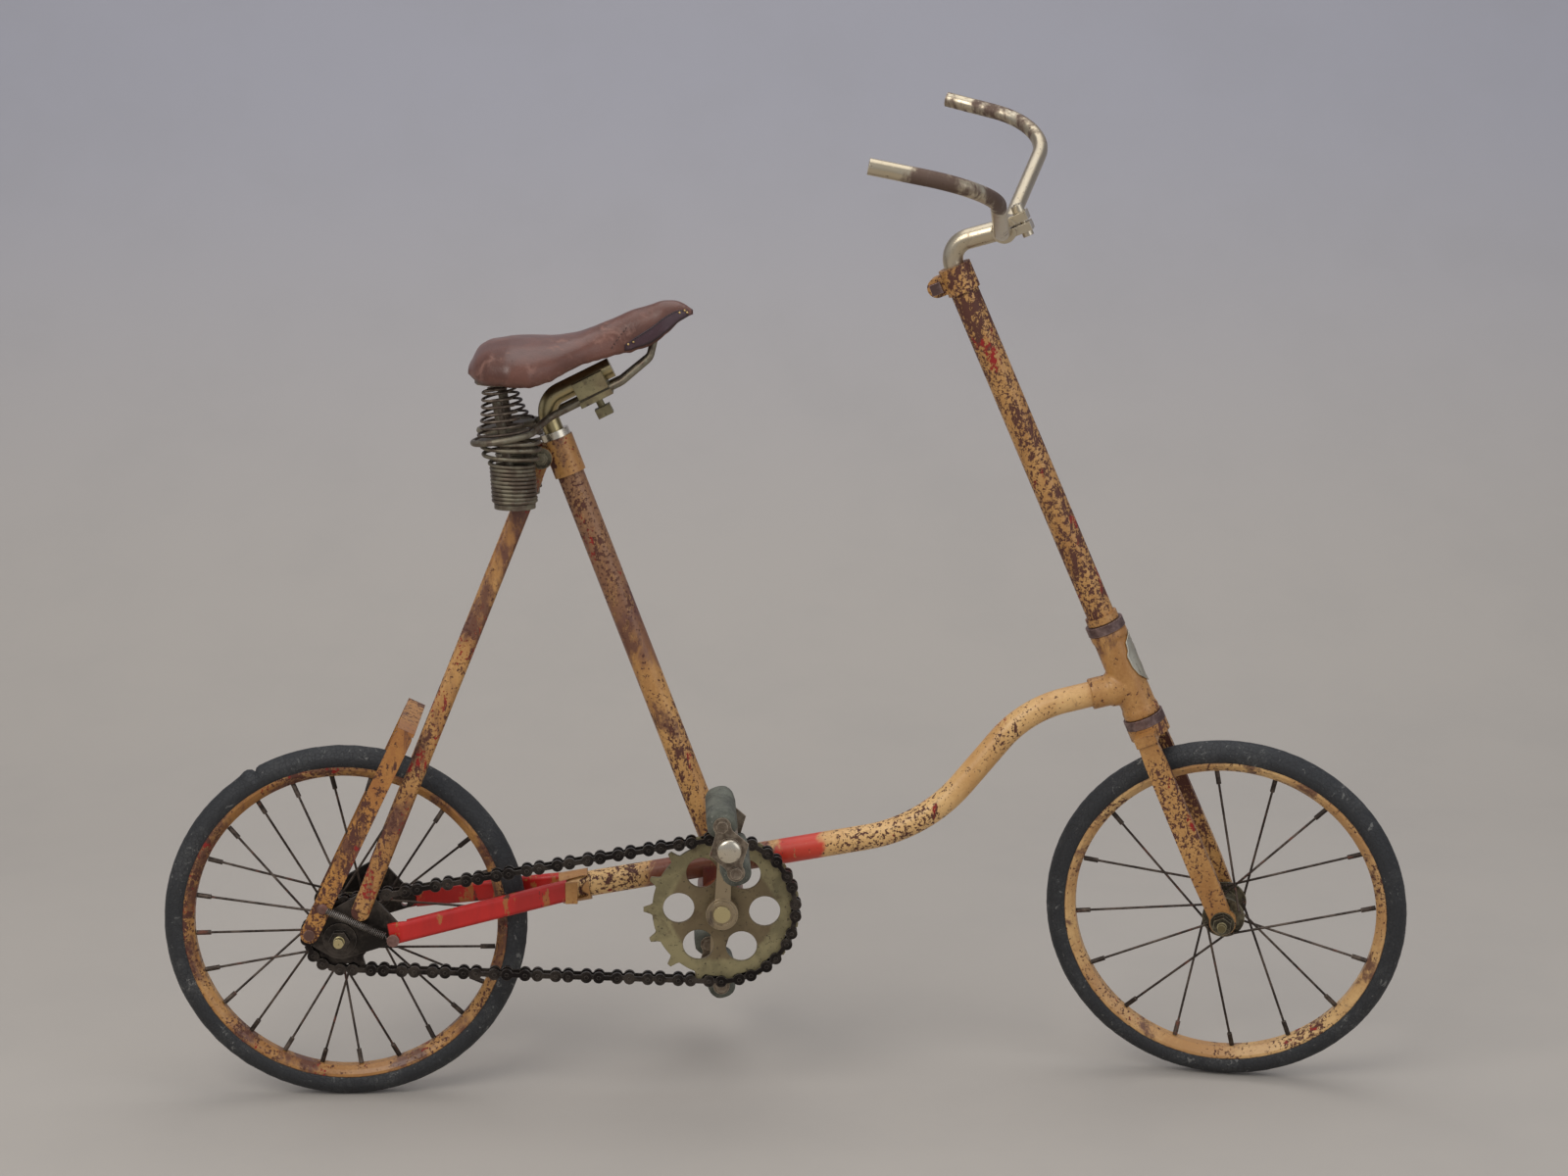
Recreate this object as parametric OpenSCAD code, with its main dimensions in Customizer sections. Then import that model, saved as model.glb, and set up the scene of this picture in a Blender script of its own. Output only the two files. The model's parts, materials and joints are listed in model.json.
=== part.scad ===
// Vintage trick bicycle with two small wheels, one curved main tube, a riser
// that turns with the fork, a sprung leather saddle, a fixed chain drive and a
// rear drop stand. Millimetres, +X forward, +Y to the left, +Z up.

/* [Wheels and geometry] */
// Outer diameter of both solid tyres
wheel_d = 300; // [285:1:315]
// Diameter of the tyre section
tyre_d = 21.6; // [18:0.2:25]
// Distance between the two axles
wheelbase = 733.5; // [700:0.5:780]
// Angle of the steering axis above the horizontal
head_angle = 66.6; // [64:0.1:69]
// Resting turn of the fork, negative to the rider's right
steer_rest = -15; // [-30:1:30]
// Spokes in the rear wheel
rear_spoke_count = 24; // [16:4:32]
// Spokes in the front wheel
front_spoke_count = 16; // [12:4:32]
// Diameter of a spoke
spoke_d = 2; // [1.6:0.1:2.4]

/* [Frame] */
// Outer diameter of the main tube
main_tube_d = 21; // [19:0.5:24]
// Wall of the frame tubes
tube_wall = 2; // [1.2:0.1:2.5]
// Outer diameter of the seat tube
seat_tube_d = 22; // [21:0.5:24]
// Length of the seat tube from the main tube's axis
seat_tube_length = 376; // [340:1:400]
// Lean of the seat tube behind the vertical
seat_tube_lean = 20.3; // [18:0.1:22]
// Outer diameter of the head lug
head_lug_d = 29; // [28:0.5:32]
// Length of the head lug along the steering axis
head_lug_length = 78; // [70:1:90]
// Sideways distance of a rear dropout's middle from the centre plane
dropout_y = 47.5; // [47:0.5:52]

/* [Fork, riser and bars] */
// Outer diameter of the riser tube
riser_d = 23; // [22:0.5:23.5]
// Height of the riser's top above the front axle, along the steering axis
riser_top = 588; // [520:1:640]
// Sideways distance of a fork blade's middle from the centre plane
blade_y = 27; // [26:0.5:32]
// Diameter of the handlebar stem
stem_d = 16.5; // [15:0.5:17.5]
// Diameter of the handlebar tube
bar_d = 12.5; // [11:0.5:14]
// Distance between the two grip ends
bar_width = 396; // [340:2:460]

/* [Drive] */
// Teeth on the chainring
chainring_teeth = 15; // [14:1:16]
// Teeth on the rear sprocket
sprocket_teeth = 7; // [7:1:8]
// Pitch of one tooth, which is one inch
tooth_pitch = 25.4; // [25.4:0.1:25.4]
// Distance of the chain's middle plane from the centre plane
chain_line = 38; // [37:0.5:40]
// Distance of the crank axle ahead of the rear axle
crank_x = 310.5; // [300:0.5:330]
// Height of the crank axle above the rear axle
crank_z = 17.5; // [10:0.5:20]
// Length of a crank
crank_length = 80; // [70:1:90]
// Resting angle of the right crank above the forward horizontal
crank_rest = 87; // [0:1:360]
// Length of a pedal block
pedal_length = 84; // [70:1:95]

/* [Saddle] */
// Diameter of the seat post
post_d = 16; // [15:0.5:16.5]
// Widest part of the leather top
saddle_width = 136; // [120:2:150]
// Thickness of the leather
leather = 4; // [3:0.5:5]
// Distance of a saddle spring from the centre plane
spring_y = 38; // [37:0.5:42]
// Diameter of the saddle frame's wire
rail_d = 6; // [5:0.2:7]

/* [Drop stand] */
// Length of the stand's legs from the pivot to the foot
stand_length = 188; // [180:1:196]
// Width of the stand's flat strip
stand_strip = 15; // [12:0.5:16]
// Resting angle of the raised stand above the forward horizontal
stand_rest = 64; // [60:1:68]

/* [Hidden] */
$fn = 48;
fit = 0.05;          // radial clearance of a turning or sliding fit
skin = 0.3;          // gap between pieces that only pass each other
lap = 0.5;           // length by which a straight tube runs into its bend
wheel_r = wheel_d / 2;
tyre_r = tyre_d / 2;
tyre_centre_r = wheel_r - tyre_r;
rim_inner_r = tyre_centre_r - 14.2;
rim_half = tyre_r - 1.8;
nipple_length = 12;
nipple_d = 4;
hub_hole_r = 15;
flange_r = 17.5;
flange_t = 2;

axle_d = 9;
axle_half = 63;
axle_end_d = 8;        // thread that stands free of the nuts
axle_end = 5.4;
front_axle_d = 8;
front_axle_half = 43;
front_end_d = 7;
front_end = 4.2;
rear_flange_y = 23;
front_flange_y = 17;
rear_barrel_d = 24;
front_barrel_d = 20;
hub_bore_d = 16;
ball_d = 3.2;

steer_axis = [-cos(head_angle), 0, sin(head_angle)];
crown_z = 166;       // heights along the steering axis above the front axle
crown_h = 10;
cup_h = 8;
lug_low = crown_z + crown_h + cup_h;
lug_high = lug_low + head_lug_length;
cup_d = head_lug_d + 5;
lug_bore = riser_d + 2;
clamp_h = 22;
clamp_d = riser_d + 4;
clamp_ear_x = clamp_d / 2 + 5;
clamp_ear_r = 8;
clamp_screw_d = 5;
branch_at = 211.4;   // where the main tube's axis meets the steering axis
blade_w = 20;
blade_t = 7;

seat_foot = [312, 0, 46.6];
seat_axis = [-sin(seat_tube_lean), 0, cos(seat_tube_lean)];
seat_top = seat_foot + seat_tube_length * seat_axis;
seat_lug_d = 26;
seat_lug_h = 31;
seat_lug_base = seat_top - (seat_lug_h - 4) * seat_axis;
ear_back = 16.5;     // pinch bolt behind the seat tube's axis
pinch = seat_top - 6 * seat_axis - ear_back * [cos(seat_tube_lean), 0, sin(seat_tube_lean)];
seat_bolt_d = 6;

yoke = [180, 0, 26];             // rear end of the main tube
lower_bend = [480, 0, 74.1];     // corners of the main tube's path
upper_bend = [563.5, 0, 173.9];
lower_bend_r = 130;
upper_bend_r = 100;
branch = [wheelbase, 0, 0] + branch_at * steer_axis;

stay_w = 15;
stay_t = 8;
chain_stay_w = 18;
dropout_t = 3;
dropout_in = dropout_y - dropout_t / 2;
dropout_out = dropout_y + dropout_t / 2;
chain_stay_rear = [40, dropout_y + 3.5, 3.5];
chain_stay_flat = 3.2;           // thickness of its end outside the dropout
chain_stay_front = [176, 14, 26];
seat_stay_low = [17.4, dropout_y + 2.6, 23.3];
eye_y = 10.8;
eye_t = 4;
eye_r = 9;

stand_pivot = [-24.3, 0, 4.8];
stand_t = 3;
stand_in = dropout_out + 0.4;
stand_out = stand_in + stand_t;
stand_spring_at = [-12.5, 0, 27.5];   // spring bolt on the stand's leg
stand_anchor = [43.5, 0, 0];          // spring bolt on the chain stay
stand_spring_d = 6.5;
stand_wire = 1;

bb_shell_d = 38;
bb_half = 30;
bb_bore = 32;
crank_axle_d = 14;
crank_y = 48.5;        // outer face plane of a crank's middle
crank_t = 9;
arm_w = 11.5;
boss_r = 13.2;
boss_ring = 1.5;       // height of the bright ring on a crank's boss
eye_boss_r = 10;
spindle_d = 9;
pedal_gap = 39;      // between the two rubber blocks' bolts
pedal_tilt = 15.8;   // lean of the pedals behind the vertical
pedal_in = crank_y + crank_t / 2 + 4;
block_w = 23;
block_t = 19;

ring_t = 3.2;
chainring_r = tooth_pitch * chainring_teeth / (2 * PI);
sprocket_r = tooth_pitch * sprocket_teeth / (2 * PI);
window_d = 25.6;     // round holes in the chainring
window_at = 35.3;
roller_d = 6.6;
roller_gap = 10.2;   // short distance between two rollers of one pitch
roller_w = 5;
link_t = 1.3;
link_h = 9.6;
link_waist = 4;
pin_d = 3.2;

post_lean = 26;      // rise of the seat post's forward leg
post_corner = seat_top + 35.5 * seat_axis;
post_bend_r = 17;
post_leg = 62;
collar_h = 6;
post_dir = [cos(post_lean), 0, sin(post_lean)];
saddle_clamp_at = post_corner + 41 * post_dir;
rail_drop = 13;        // rails below the post's leg
clamp_bolt_d = 6;
saddle_nose = [254, 0, 480];
coil_foot = [147.8, 0, 357];      // foot of a spring rod
coil_lean = 9.1;     // lean of the rods behind the vertical
ring_at = 52;        // heights along a rod
ring_reach = 24;
cone_at = ring_at + 2.6;
cone_h = 37;
rod_h = 82;
coil_d = 37;
coil_wire = 3.2;
coil_turns = 9;
spring_wire = 2.4;
spring_turns = 5;

stem_bend_z = 606;   // along the steering axis
bar_at = [50, 0, 600];
bar_corner = [87, bar_width / 2 - 16, 646.5];
bar_end = [10.4, bar_width / 2, 700.8];
bar_bend_r = 60;

front_wheel_reach = tyre_centre_r * sqrt(1 - pow(sin(head_angle) * sin(steer_rest), 2)) + tyre_r;
centre_x = (wheelbase + front_wheel_reach - wheel_r) / 2;
bar_skew = (bar_end[0] + bar_corner[0]) * sin(steer_rest) + (bar_end[1] - bar_corner[1]) * cos(steer_rest);
centre_y = bar_skew / 2 + 0.967;      // the rounded corner reaches a little less far

// ---- helpers ----

function unit(v) = v / norm(v);
function frame_of(x, y, z, o) = [[x[0], y[0], z[0], o[0]], [x[1], y[1], z[1], o[1]],
    [x[2], y[2], z[2], o[2]], [0, 0, 0, 1]];
function side_of(v) = abs(v[1]) < 0.9 ? unit(cross([0, 1, 0], v)) : [1, 0, 0];
function turn_at(p, i) = acos(unit(p[i] - p[i - 1]) * unit(p[i + 1] - p[i]));
function cut_at(p, r, i) = i <= 0 || i >= len(p) - 1 ? 0 : r[i - 1] * tan(turn_at(p, i) / 2);

// Stands children, drawn along +Z from the origin, on the line from a to b.
module along(a, b) {
    z = unit(b - a);
    x = unit(side_of(z) - (side_of(z) * z) * z);
    multmatrix(frame_of(x, cross(z, x), z, a)) children();
}

// Rod or tube from a to b.
module rod(a, b, d, bore = 0) {
    along(a, b) ring(d, norm(b - a), bore);
}

module ring(d, h, bore = 0) {
    difference() {
        cylinder(d = d, h = h);
        if (bore > 0) translate([0, 0, -1]) cylinder(d = bore, h = h + 2);
    }
}

// Tube through corner points with one bend radius for each inner corner.
// Straight lengths lap over the bends, which are a hair thinner in the wall.
module pipe(points, radii, d, bore = 0) {
    last = len(points) - 1;
    for (i = [0:last - 1]) {
        dir = unit(points[i + 1] - points[i]);
        rod(points[i] + (cut_at(points, radii, i) - (i > 0 ? lap : 0)) * dir,
            points[i + 1] - (cut_at(points, radii, i + 1) - (i < last - 1 ? lap : 0)) * dir, d, bore);
    }
    for (i = [1:last - 1]) {
        u = unit(points[i] - points[i - 1]);
        v = unit(points[i + 1] - points[i]);
        turn = turn_at(points, i);
        centre = points[i] + unit(v - u) * radii[i - 1] / cos(turn / 2);
        start = points[i] - u * cut_at(points, radii, i);
        x = unit(start - centre);
        multmatrix(frame_of(x, u, cross(x, u), centre))
            rotate_extrude(angle = turn)
                translate([radii[i - 1], 0]) difference() {
                    circle(d = d - 0.1);
                    if (bore > 0) circle(d = bore + 0.1);
                }
    }
}

// Disc or tube about an axis along Y, from y0 to y1.
module disc(d, y0, y1, bore = 0) {
    translate([0, y0, 0]) rotate([-90, 0, 0]) ring(d, y1 - y0, bore);
}

// Hexagon about an axis along Y, from y0 to y1, with a round bore.
module hex_nut(across, y0, y1, bore = 0) {
    translate([0, y0, 0]) rotate([-90, 0, 0]) difference() {
        cylinder(d = across / cos(30), h = y1 - y0, $fn = 6);
        if (bore > 0) translate([0, 0, -1]) cylinder(d = bore, h = y1 - y0 + 2);
    }
}

// Flat outline with round ends, w wide, from [0, 0] to [l, 0].
module slot_shape(l, w) {
    translate([0, -w / 2]) square([l, w]);
    circle(d = w);
    translate([l, 0]) circle(d = w);
}

// Oval section w by t, extruded from a to b, wide side in the plane of motion.
module oval_bar(a, b, w, t) {
    along(a, b) linear_extrude(norm(b - a)) translate([-(w - t) / 2, 0]) slot_shape(w - t, t);
}

module both_sides() {
    children();
    mirror([0, 1, 0]) children();
}

// Whole bicycle: rear axle frame to the part's origin on the ground.
module place() {
    translate([-centre_x, -centre_y, wheel_r]) children();
}

// Steering frame: origin at the front axle, +Z along the steering axis.
module head_frame() {
    place() translate([wheelbase, 0, 0]) rotate([0, head_angle - 90, 0]) children();
}

module steered() {
    head_frame() rotate([0, 0, steer_rest]) children();
}

module crank_frame() {
    place() translate([crank_x, 0, crank_z]) children();
}

// ---- frame ----

module main_tube() color("goldenrod") place() difference() {
    pipe([yoke, lower_bend, upper_bend, branch], [lower_bend_r, upper_bend_r], main_tube_d,
        main_tube_d - 2 * tube_wall);
    along([wheelbase, 0, 0], [wheelbase, 0, 0] + steer_axis) translate([0, 0, lug_low])
        cylinder(r = 24, h = head_lug_length);
}

module head_lug() color("darkgoldenrod") {
    inward = unit(upper_bend - branch);
    place() difference() {
        union() {
            along([wheelbase, 0, 0], [wheelbase, 0, 0] + steer_axis) {
                translate([0, 0, lug_low]) cylinder(d = head_lug_d, h = head_lug_length);
                for (z = [lug_low, lug_high - 7]) translate([0, 0, z]) cylinder(d = head_lug_d + 2, h = 7);
            }
            rod(branch, branch + 34 * inward, main_tube_d + 5);
            rod(branch, branch + 18 * inward, main_tube_d + 8);
        }
        along([wheelbase, 0, 0], [wheelbase, 0, 0] + steer_axis)
            translate([0, 0, lug_low - 1]) cylinder(d = lug_bore, h = head_lug_length + 2);
        rod(branch + 20 * inward, branch + 40 * inward, main_tube_d + 2 * fit);
    }
}

// Plain shield plate wrapped on the front of the head lug, with a raised rim and two rivets.
module head_badge() color("silver") head_frame() translate([0, 0, lug_low + 24]) {
    inner_r = head_lug_d / 2 + fit;
    intersection() {
        ring(2 * inner_r + 2.4, 48, 2 * inner_r);
        rotate([90, 0, 90]) linear_extrude(30)
            polygon([[-12.6, 12], [-14, 30], [-9.6, 44], [0, 47], [9.6, 44], [14, 30], [12.6, 12], [0, 1]]);
    }
    intersection() {
        ring(2 * inner_r + 4, 48, 2 * inner_r + 2);
        rotate([90, 0, 90]) linear_extrude(30)
            polygon([[-9, 14], [-10.4, 30], [0, 41], [10.4, 30], [9, 14], [0, 6]]);
    }
}

// Upper and lower headset cups, a running fit on the riser.
module headset_cups() color("dimgray") head_frame() {
    difference() {
        translate([0, 0, lug_low - cup_h + skin]) cylinder(d = cup_d, h = cup_h - skin);
        translate([0, 0, lug_low - cup_h - 1]) cylinder(d = riser_d + 2 * fit, h = cup_h + 2);
    }
    difference() {
        translate([0, 0, lug_high]) cylinder(d = cup_d - 2, h = cup_h - skin);
        translate([0, 0, lug_high - 1]) cylinder(d = riser_d + 2 * fit, h = cup_h + 2);
    }
}

// Flanged cup in each end of the crank shell, with its ring of balls on the axle.
module crank_bearings() color("silver") crank_frame() both_sides() {
    disc(bb_bore - 2 * fit, bb_half - 8, bb_half, crank_axle_d + 2 * fit);
    disc(bb_shell_d, bb_half, bb_half + 3, crank_axle_d + 2 * fit);
    for (i = [0:8]) rotate([0, i * 40, 0])
        translate([crank_axle_d / 2 + ball_d / 2 + fit, bb_half - 8 - ball_d / 2 - fit, 0])
            sphere(d = ball_d, $fn = 24);
}

module seat_tube() color("peru") place() difference() {
    rod(seat_foot, seat_top, seat_tube_d, post_d + 2 * fit);
    rod(yoke, lower_bend, main_tube_d + 2 * fit);
}

// Sleeve over the seat tube's top with two ears for the pinch bolt.
module seat_lug() color("darkgoldenrod") place() difference() {
    union() {
        rod(seat_lug_base, seat_top + 4 * seat_axis, seat_lug_d);
        for (s = [-1, 1]) hull() {
            translate(pinch + [0, s * 4.5 - 3, 0]) rotate([-90, 0, 0]) cylinder(r = 7, h = 6, $fn = 32);
            translate(pinch + [10, s * 4.5 - 3, 4]) rotate([-90, 0, 0]) cylinder(r = 7, h = 6, $fn = 32);
        }
    }
    rod(seat_lug_base - 5 * seat_axis, seat_top, seat_tube_d + 2 * fit);
    rod(seat_top - seat_axis, seat_top + 9 * seat_axis, post_d + 1);
    translate(pinch) disc(seat_bolt_d + 2 * fit, -12, 12);
}

// Pinch bolt with a small head, a broad washer and a nut, through the stay eyes and the lug's ears.
module seat_bolt() color("gray") place() translate(pinch) {
    disc(seat_bolt_d, -19, 17);
    disc(17, -eye_y - eye_t / 2 - 1.7, -eye_y - eye_t / 2 - skin / 2);
    hex_nut(9, -eye_y - eye_t / 2 - 6, -eye_y - eye_t / 2 - 1.7);
    hex_nut(10, eye_y + eye_t / 2 + skin / 2, eye_y + eye_t / 2 + 5);
}

// Bright ring that closes the top of the seat lug around the post.
module seat_collar() color("silver") place() along(seat_top + 4 * seat_axis, seat_top + 5 * seat_axis)
    ring(seat_lug_d - 2, collar_h, post_d + 2 * fit);

// Collar on the main tube's rear end with a block that takes both chain stays.
module rear_yoke() color("firebrick") place() difference() {
    union() {
        rod(yoke - 2 * unit(lower_bend - yoke), yoke + 22 * unit(lower_bend - yoke), main_tube_d + 5);
        translate(yoke + [2, -17, -9]) cube([10, 34, 18]);
    }
    rod(yoke, yoke + 60 * unit(lower_bend - yoke), main_tube_d + 2 * fit);
    both_sides() oval_bar(chain_stay_rear, chain_stay_front + 0.2 * (chain_stay_front - chain_stay_rear),
        chain_stay_w + 2 * fit, stay_t + 2 * fit);
}

// Each stay is flattened behind, where it laps the dropout's outer face.
module chain_stays() color("red") place() both_sides() difference() {
    oval_bar(chain_stay_rear, chain_stay_front + 8.3 * unit(chain_stay_front - chain_stay_rear), chain_stay_w, stay_t);
    rod(yoke - 3 * unit(lower_bend - yoke), yoke + 60 * unit(lower_bend - yoke), main_tube_d + 5 + 2 * fit);
    translate([stand_anchor[0], 0, stand_anchor[2]]) disc(5 + 2 * fit, 30, 60);
    translate([20, dropout_in - 10, -30]) cube([34, 10 + dropout_t + fit, 60]);
    translate([20, dropout_out + fit + chain_stay_flat, -30]) cube([31, 20, 60]);
}

module seat_stay() {
    top = pinch + [-6, eye_y, -14.5];
    difference() {
        union() {
            oval_bar(seat_stay_low, top, stay_w, stay_t);
            translate(seat_stay_low) disc(stay_w, -stay_t / 2, stay_t / 2 - 1.8);
            translate(pinch) disc(2 * eye_r, eye_y - eye_t / 2, eye_y + eye_t / 2);
            hull() {
                translate(pinch + [0, eye_y - eye_t / 2, 0]) rotate([-90, 0, 0]) cylinder(r = 7, h = eye_t, $fn = 32);
                translate(top + [0, -eye_t / 2, 0]) rotate([-90, 0, 0]) cylinder(r = 7, h = eye_t, $fn = 32);
            }
        }
        translate(pinch) disc(seat_bolt_d + 2 * fit, 0, 30);
        translate([0, dropout_in - fit, 0]) cube([40, dropout_t + 2 * fit, 42]);
        translate(pinch) disc(30, -20, eye_y - eye_t / 2);
        rod(seat_lug_base - 5 * seat_axis, seat_top + 9 * seat_axis, seat_lug_d + 2 * skin);
    }
}

module seat_stay_left() color("orange") place() seat_stay();

module seat_stay_right() color("orange") place() mirror([0, 1, 0]) seat_stay();

// Plate that joins the stays, the axle and the stand's pivot.
module dropout() difference() {
    translate([0, dropout_out, 0]) rotate([90, 0, 0]) linear_extrude(dropout_t) hull() {
        circle(r = 17);
        translate([stand_pivot[0], stand_pivot[2]]) circle(r = 8);
        translate([seat_stay_low[0] + 4, seat_stay_low[2] + 10]) circle(r = 6);
        translate([46, 3.5]) circle(r = 7);
    }
    disc(axle_d + 2 * fit, 0, 80);
    translate(stand_pivot) disc(6 + 2 * fit, 0, 80);
    translate([stand_anchor[0], 0, stand_anchor[2]]) disc(5 + 2 * fit, 30, 60);
}

module dropout_left() color("dimgray") place() dropout();

module dropout_right() color("dimgray") place() mirror([0, 1, 0]) dropout();

module stepped_axle(d, half, end_d, end) {
    disc(d, end - half, half - end);
    disc(end_d, -half, half);
}

module rear_axle() color("wheat") place() stepped_axle(axle_d, axle_half, axle_end_d, axle_end);

// Washer and nut outside each dropout, and a lock nut inside it.
module rear_axle_nuts() color("dimgray") place() both_sides() {
    disc(27, dropout_out + fit, dropout_out + 1.8, axle_d + 2 * fit);
    hex_nut(15, dropout_out + 1.8 + fit, dropout_out + 8, axle_d + 2 * fit);
}

// Bearing cones on the axle, a running fit in the hub's ends.
module rear_cones() color("silver") place() both_sides() {
    disc(hub_bore_d - 2 * fit, rear_flange_y - 6, rear_flange_y - 1, axle_d + 2 * fit);
    disc(11, rear_flange_y - 2, dropout_in - fit, axle_d + 2 * fit);
}

// Stand pivots in the dropouts, and the bolt that anchors the stand's spring.
module stand_bolts() color("saddlebrown") place() {
    both_sides() translate(stand_pivot) {
        disc(6, dropout_in - 1.6, stand_out + 3);
        disc(10, dropout_in - 1.6, dropout_in - fit);
        disc(9, stand_out + 0.2, stand_out + 3);
    }
    translate(stand_anchor) mirror([0, 1, 0]) {
        disc(5, dropout_in - 6, stand_out + 5);
        disc(10, stand_out + 2.5, stand_out + 5);
    }
}

// Shell on the crank axis with a saddle that meets the main tube above it.
module bottom_bracket() color("peru") difference() {
    union() {
        crank_frame() disc(bb_shell_d, -bb_half, bb_half);
        crank_frame() translate([-15, -12, 0]) cube([30, 24, bb_shell_d / 2 + 9]);
    }
    crank_frame() disc(bb_bore, -bb_half - 1, bb_half + 1);
    place() rod(yoke, lower_bend, main_tube_d + 2 * fit);
    place() rod(seat_foot, seat_top, seat_tube_d + 2 * fit);
}

// ---- drop stand ----

// Flat strip bent to a U: two legs outside the dropouts and a foot across the wheel.
module stand() color("goldenrod") place() translate(stand_pivot) rotate([0, -stand_rest, 0]) difference() {
    union() {
        both_sides() translate([0, stand_out, 0]) rotate([90, 0, 0]) linear_extrude(stand_t)
            difference() {
                slot_shape(stand_length - stand_strip / 2, stand_strip);
                translate([stand_length, -stand_strip]) square(2 * stand_strip);
            }
        translate([stand_length - stand_t, -stand_out, -stand_strip / 2]) cube([stand_t, 2 * stand_out, stand_strip]);
    }
    disc(6 + 2 * fit, -80, 80);
}

// Close-wound tension spring from a bolt on the stand's right leg to the chain stay.
module stand_spring() color("silver") place() {
    y = -(stand_out + stand_spring_d / 2 + skin);
    a = [stand_spring_at[0], y, stand_spring_at[2]];
    b = [stand_anchor[0] - 5, y, stand_anchor[2] + 3];
    coil_body(a, b, stand_spring_d, stand_wire);
    translate([stand_spring_at[0], 0, stand_spring_at[2]]) disc(4, y - 2, -stand_out - fit);
}

// Turned body of a close-wound coil: one groove for each turn, hollow inside.
module coil_body(a, b, d, wire) {
    turns = floor(norm(b - a) / wire);
    along(a, b) rotate_extrude() {
        for (i = [0:turns - 1]) translate([d / 2 - wire / 2, (i + 0.5) * wire]) circle(d = wire, $fn = 16);
        translate([d / 2 - wire * 0.85, 0]) square([wire * 0.6, turns * wire]);
    }
}

// ---- fork, riser and bars ----

module riser_tube() color("goldenrod") steered() {
    translate([0, 0, crown_z + 1]) ring(riser_d, riser_top - crown_z - 1, stem_d + 2 * fit);
    translate([0, 0, lug_high + cup_h + skin]) ring(riser_d + 4, 6, riser_d - 1);
}

// Split collar on the riser's top, with one rounded ear to the rear.
module riser_clamp() color("darkgoldenrod") steered() translate([0, 0, riser_top - clamp_h]) difference() {
    union() {
        cylinder(d = clamp_d, h = clamp_h);
        translate([-clamp_ear_x, 0, clamp_h / 2]) disc(2 * clamp_ear_r, -6.5, 6.5);
        translate([-clamp_ear_x, -6.5, clamp_h / 2 - clamp_ear_r]) cube([clamp_ear_x - 8, 13, 2 * clamp_ear_r]);
    }
    translate([0, 0, -1]) cylinder(d = riser_d + 2 * fit, h = clamp_h + 2);
    translate([-clamp_d - 8, -1, -1]) cube([clamp_d, 2, clamp_h + 2]);
    translate([-clamp_ear_x, 0, clamp_h / 2]) disc(clamp_screw_d + 2 * fit, -10, 10);
}

// Square-headed pinch bolt with its nut.
module riser_bolt() color("saddlebrown") steered() translate([-clamp_ear_x, 0, riser_top - clamp_h / 2]) {
    disc(clamp_screw_d, -12, 14);
    translate([-4.5, -12, -4.5]) cube([9, 5.5 - fit, 9]);
    hex_nut(9, 6.5 + fit, 11);
}

// Plate under the lower cup with a socket over each blade's top.
module fork_crown() color("dimgray") steered() translate([0, 0, crown_z]) difference() {
    union() {
        cylinder(d = cup_d, h = crown_h);
        translate([-blade_w / 2 + 1, -blade_y - 5, 0]) cube([blade_w - 2, 2 * blade_y + 10, crown_h - 2]);
    }
    translate([0, 0, 1]) cylinder(d = riser_d + 2 * fit, h = crown_h);
}

// Flat blade: straight, rounded at the axle, widest in the middle.
module fork_blade() {
    top = crown_z - fit;
    difference() {
        translate([0, blade_y - blade_t / 2, 0]) rotate([90, 0, 0]) mirror([0, 0, 1]) linear_extrude(blade_t)
            polygon([[-9, 0], [-10, 40], [-9, top - 20], [-8, top], [8, top], [9, top - 20], [10, 40], [9, 0]]);
        disc(front_axle_d + 2 * fit, 0, 60);
    }
    difference() {
        translate([0, blade_y, 0]) disc(22, -blade_t / 2, blade_t / 2);
        disc(front_axle_d + 2 * fit, 0, 60);
    }
}

module fork_blades() color("goldenrod") steered() both_sides() fork_blade();

module front_axle() color("gray") steered() stepped_axle(front_axle_d, front_axle_half, front_end_d, front_end);

module front_axle_nuts() color("dimgray") steered() both_sides() {
    disc(20, blade_y + blade_t / 2 + fit, blade_y + blade_t / 2 + 1.6, front_axle_d + 2 * fit);
    hex_nut(14, blade_y + blade_t / 2 + 1.6 + fit, blade_y + blade_t / 2 + 8, front_axle_d + 2 * fit);
}

module front_cones() color("silver") steered() both_sides() {
    disc(hub_bore_d - 2 * fit, front_flange_y - 6, front_flange_y - 1, front_axle_d + 2 * fit);
    disc(10, front_flange_y - 2, blade_y - blade_t / 2 - fit, front_axle_d + 2 * fit);
}

// Bent stem: a quill inside the riser, then a leg to the handlebar clamp.
module stem() color("silver") steered() difference() {
    union() {
        pipe([[0, 0, riser_top - 90], [0, 0, stem_bend_z], bar_at + [6, 0, -0.6]], [17], stem_d);
        translate(bar_at) disc(bar_d + 8, -11, 11);
        translate(bar_at + [6, -8, -8]) cube([15, 16, 16]);
    }
    translate(bar_at) disc(bar_d + 2 * fit, -30, 30);
    translate(bar_at + [0, -12, -1]) cube([30, 24, 2]);
    translate(bar_at + [15, 0, -20]) cylinder(d = 5 + 2 * fit, h = 40);
}

module stem_bolt() color("silver") steered() translate(bar_at + [15, 0, 0]) {
    translate([0, 0, -12]) cylinder(d = 5, h = 27);
    translate([0, 0, 8 + fit]) cylinder(d = 10, h = 6);
    translate([0, 0, -12]) cylinder(d = 9, h = 4 - fit);
}

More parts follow.
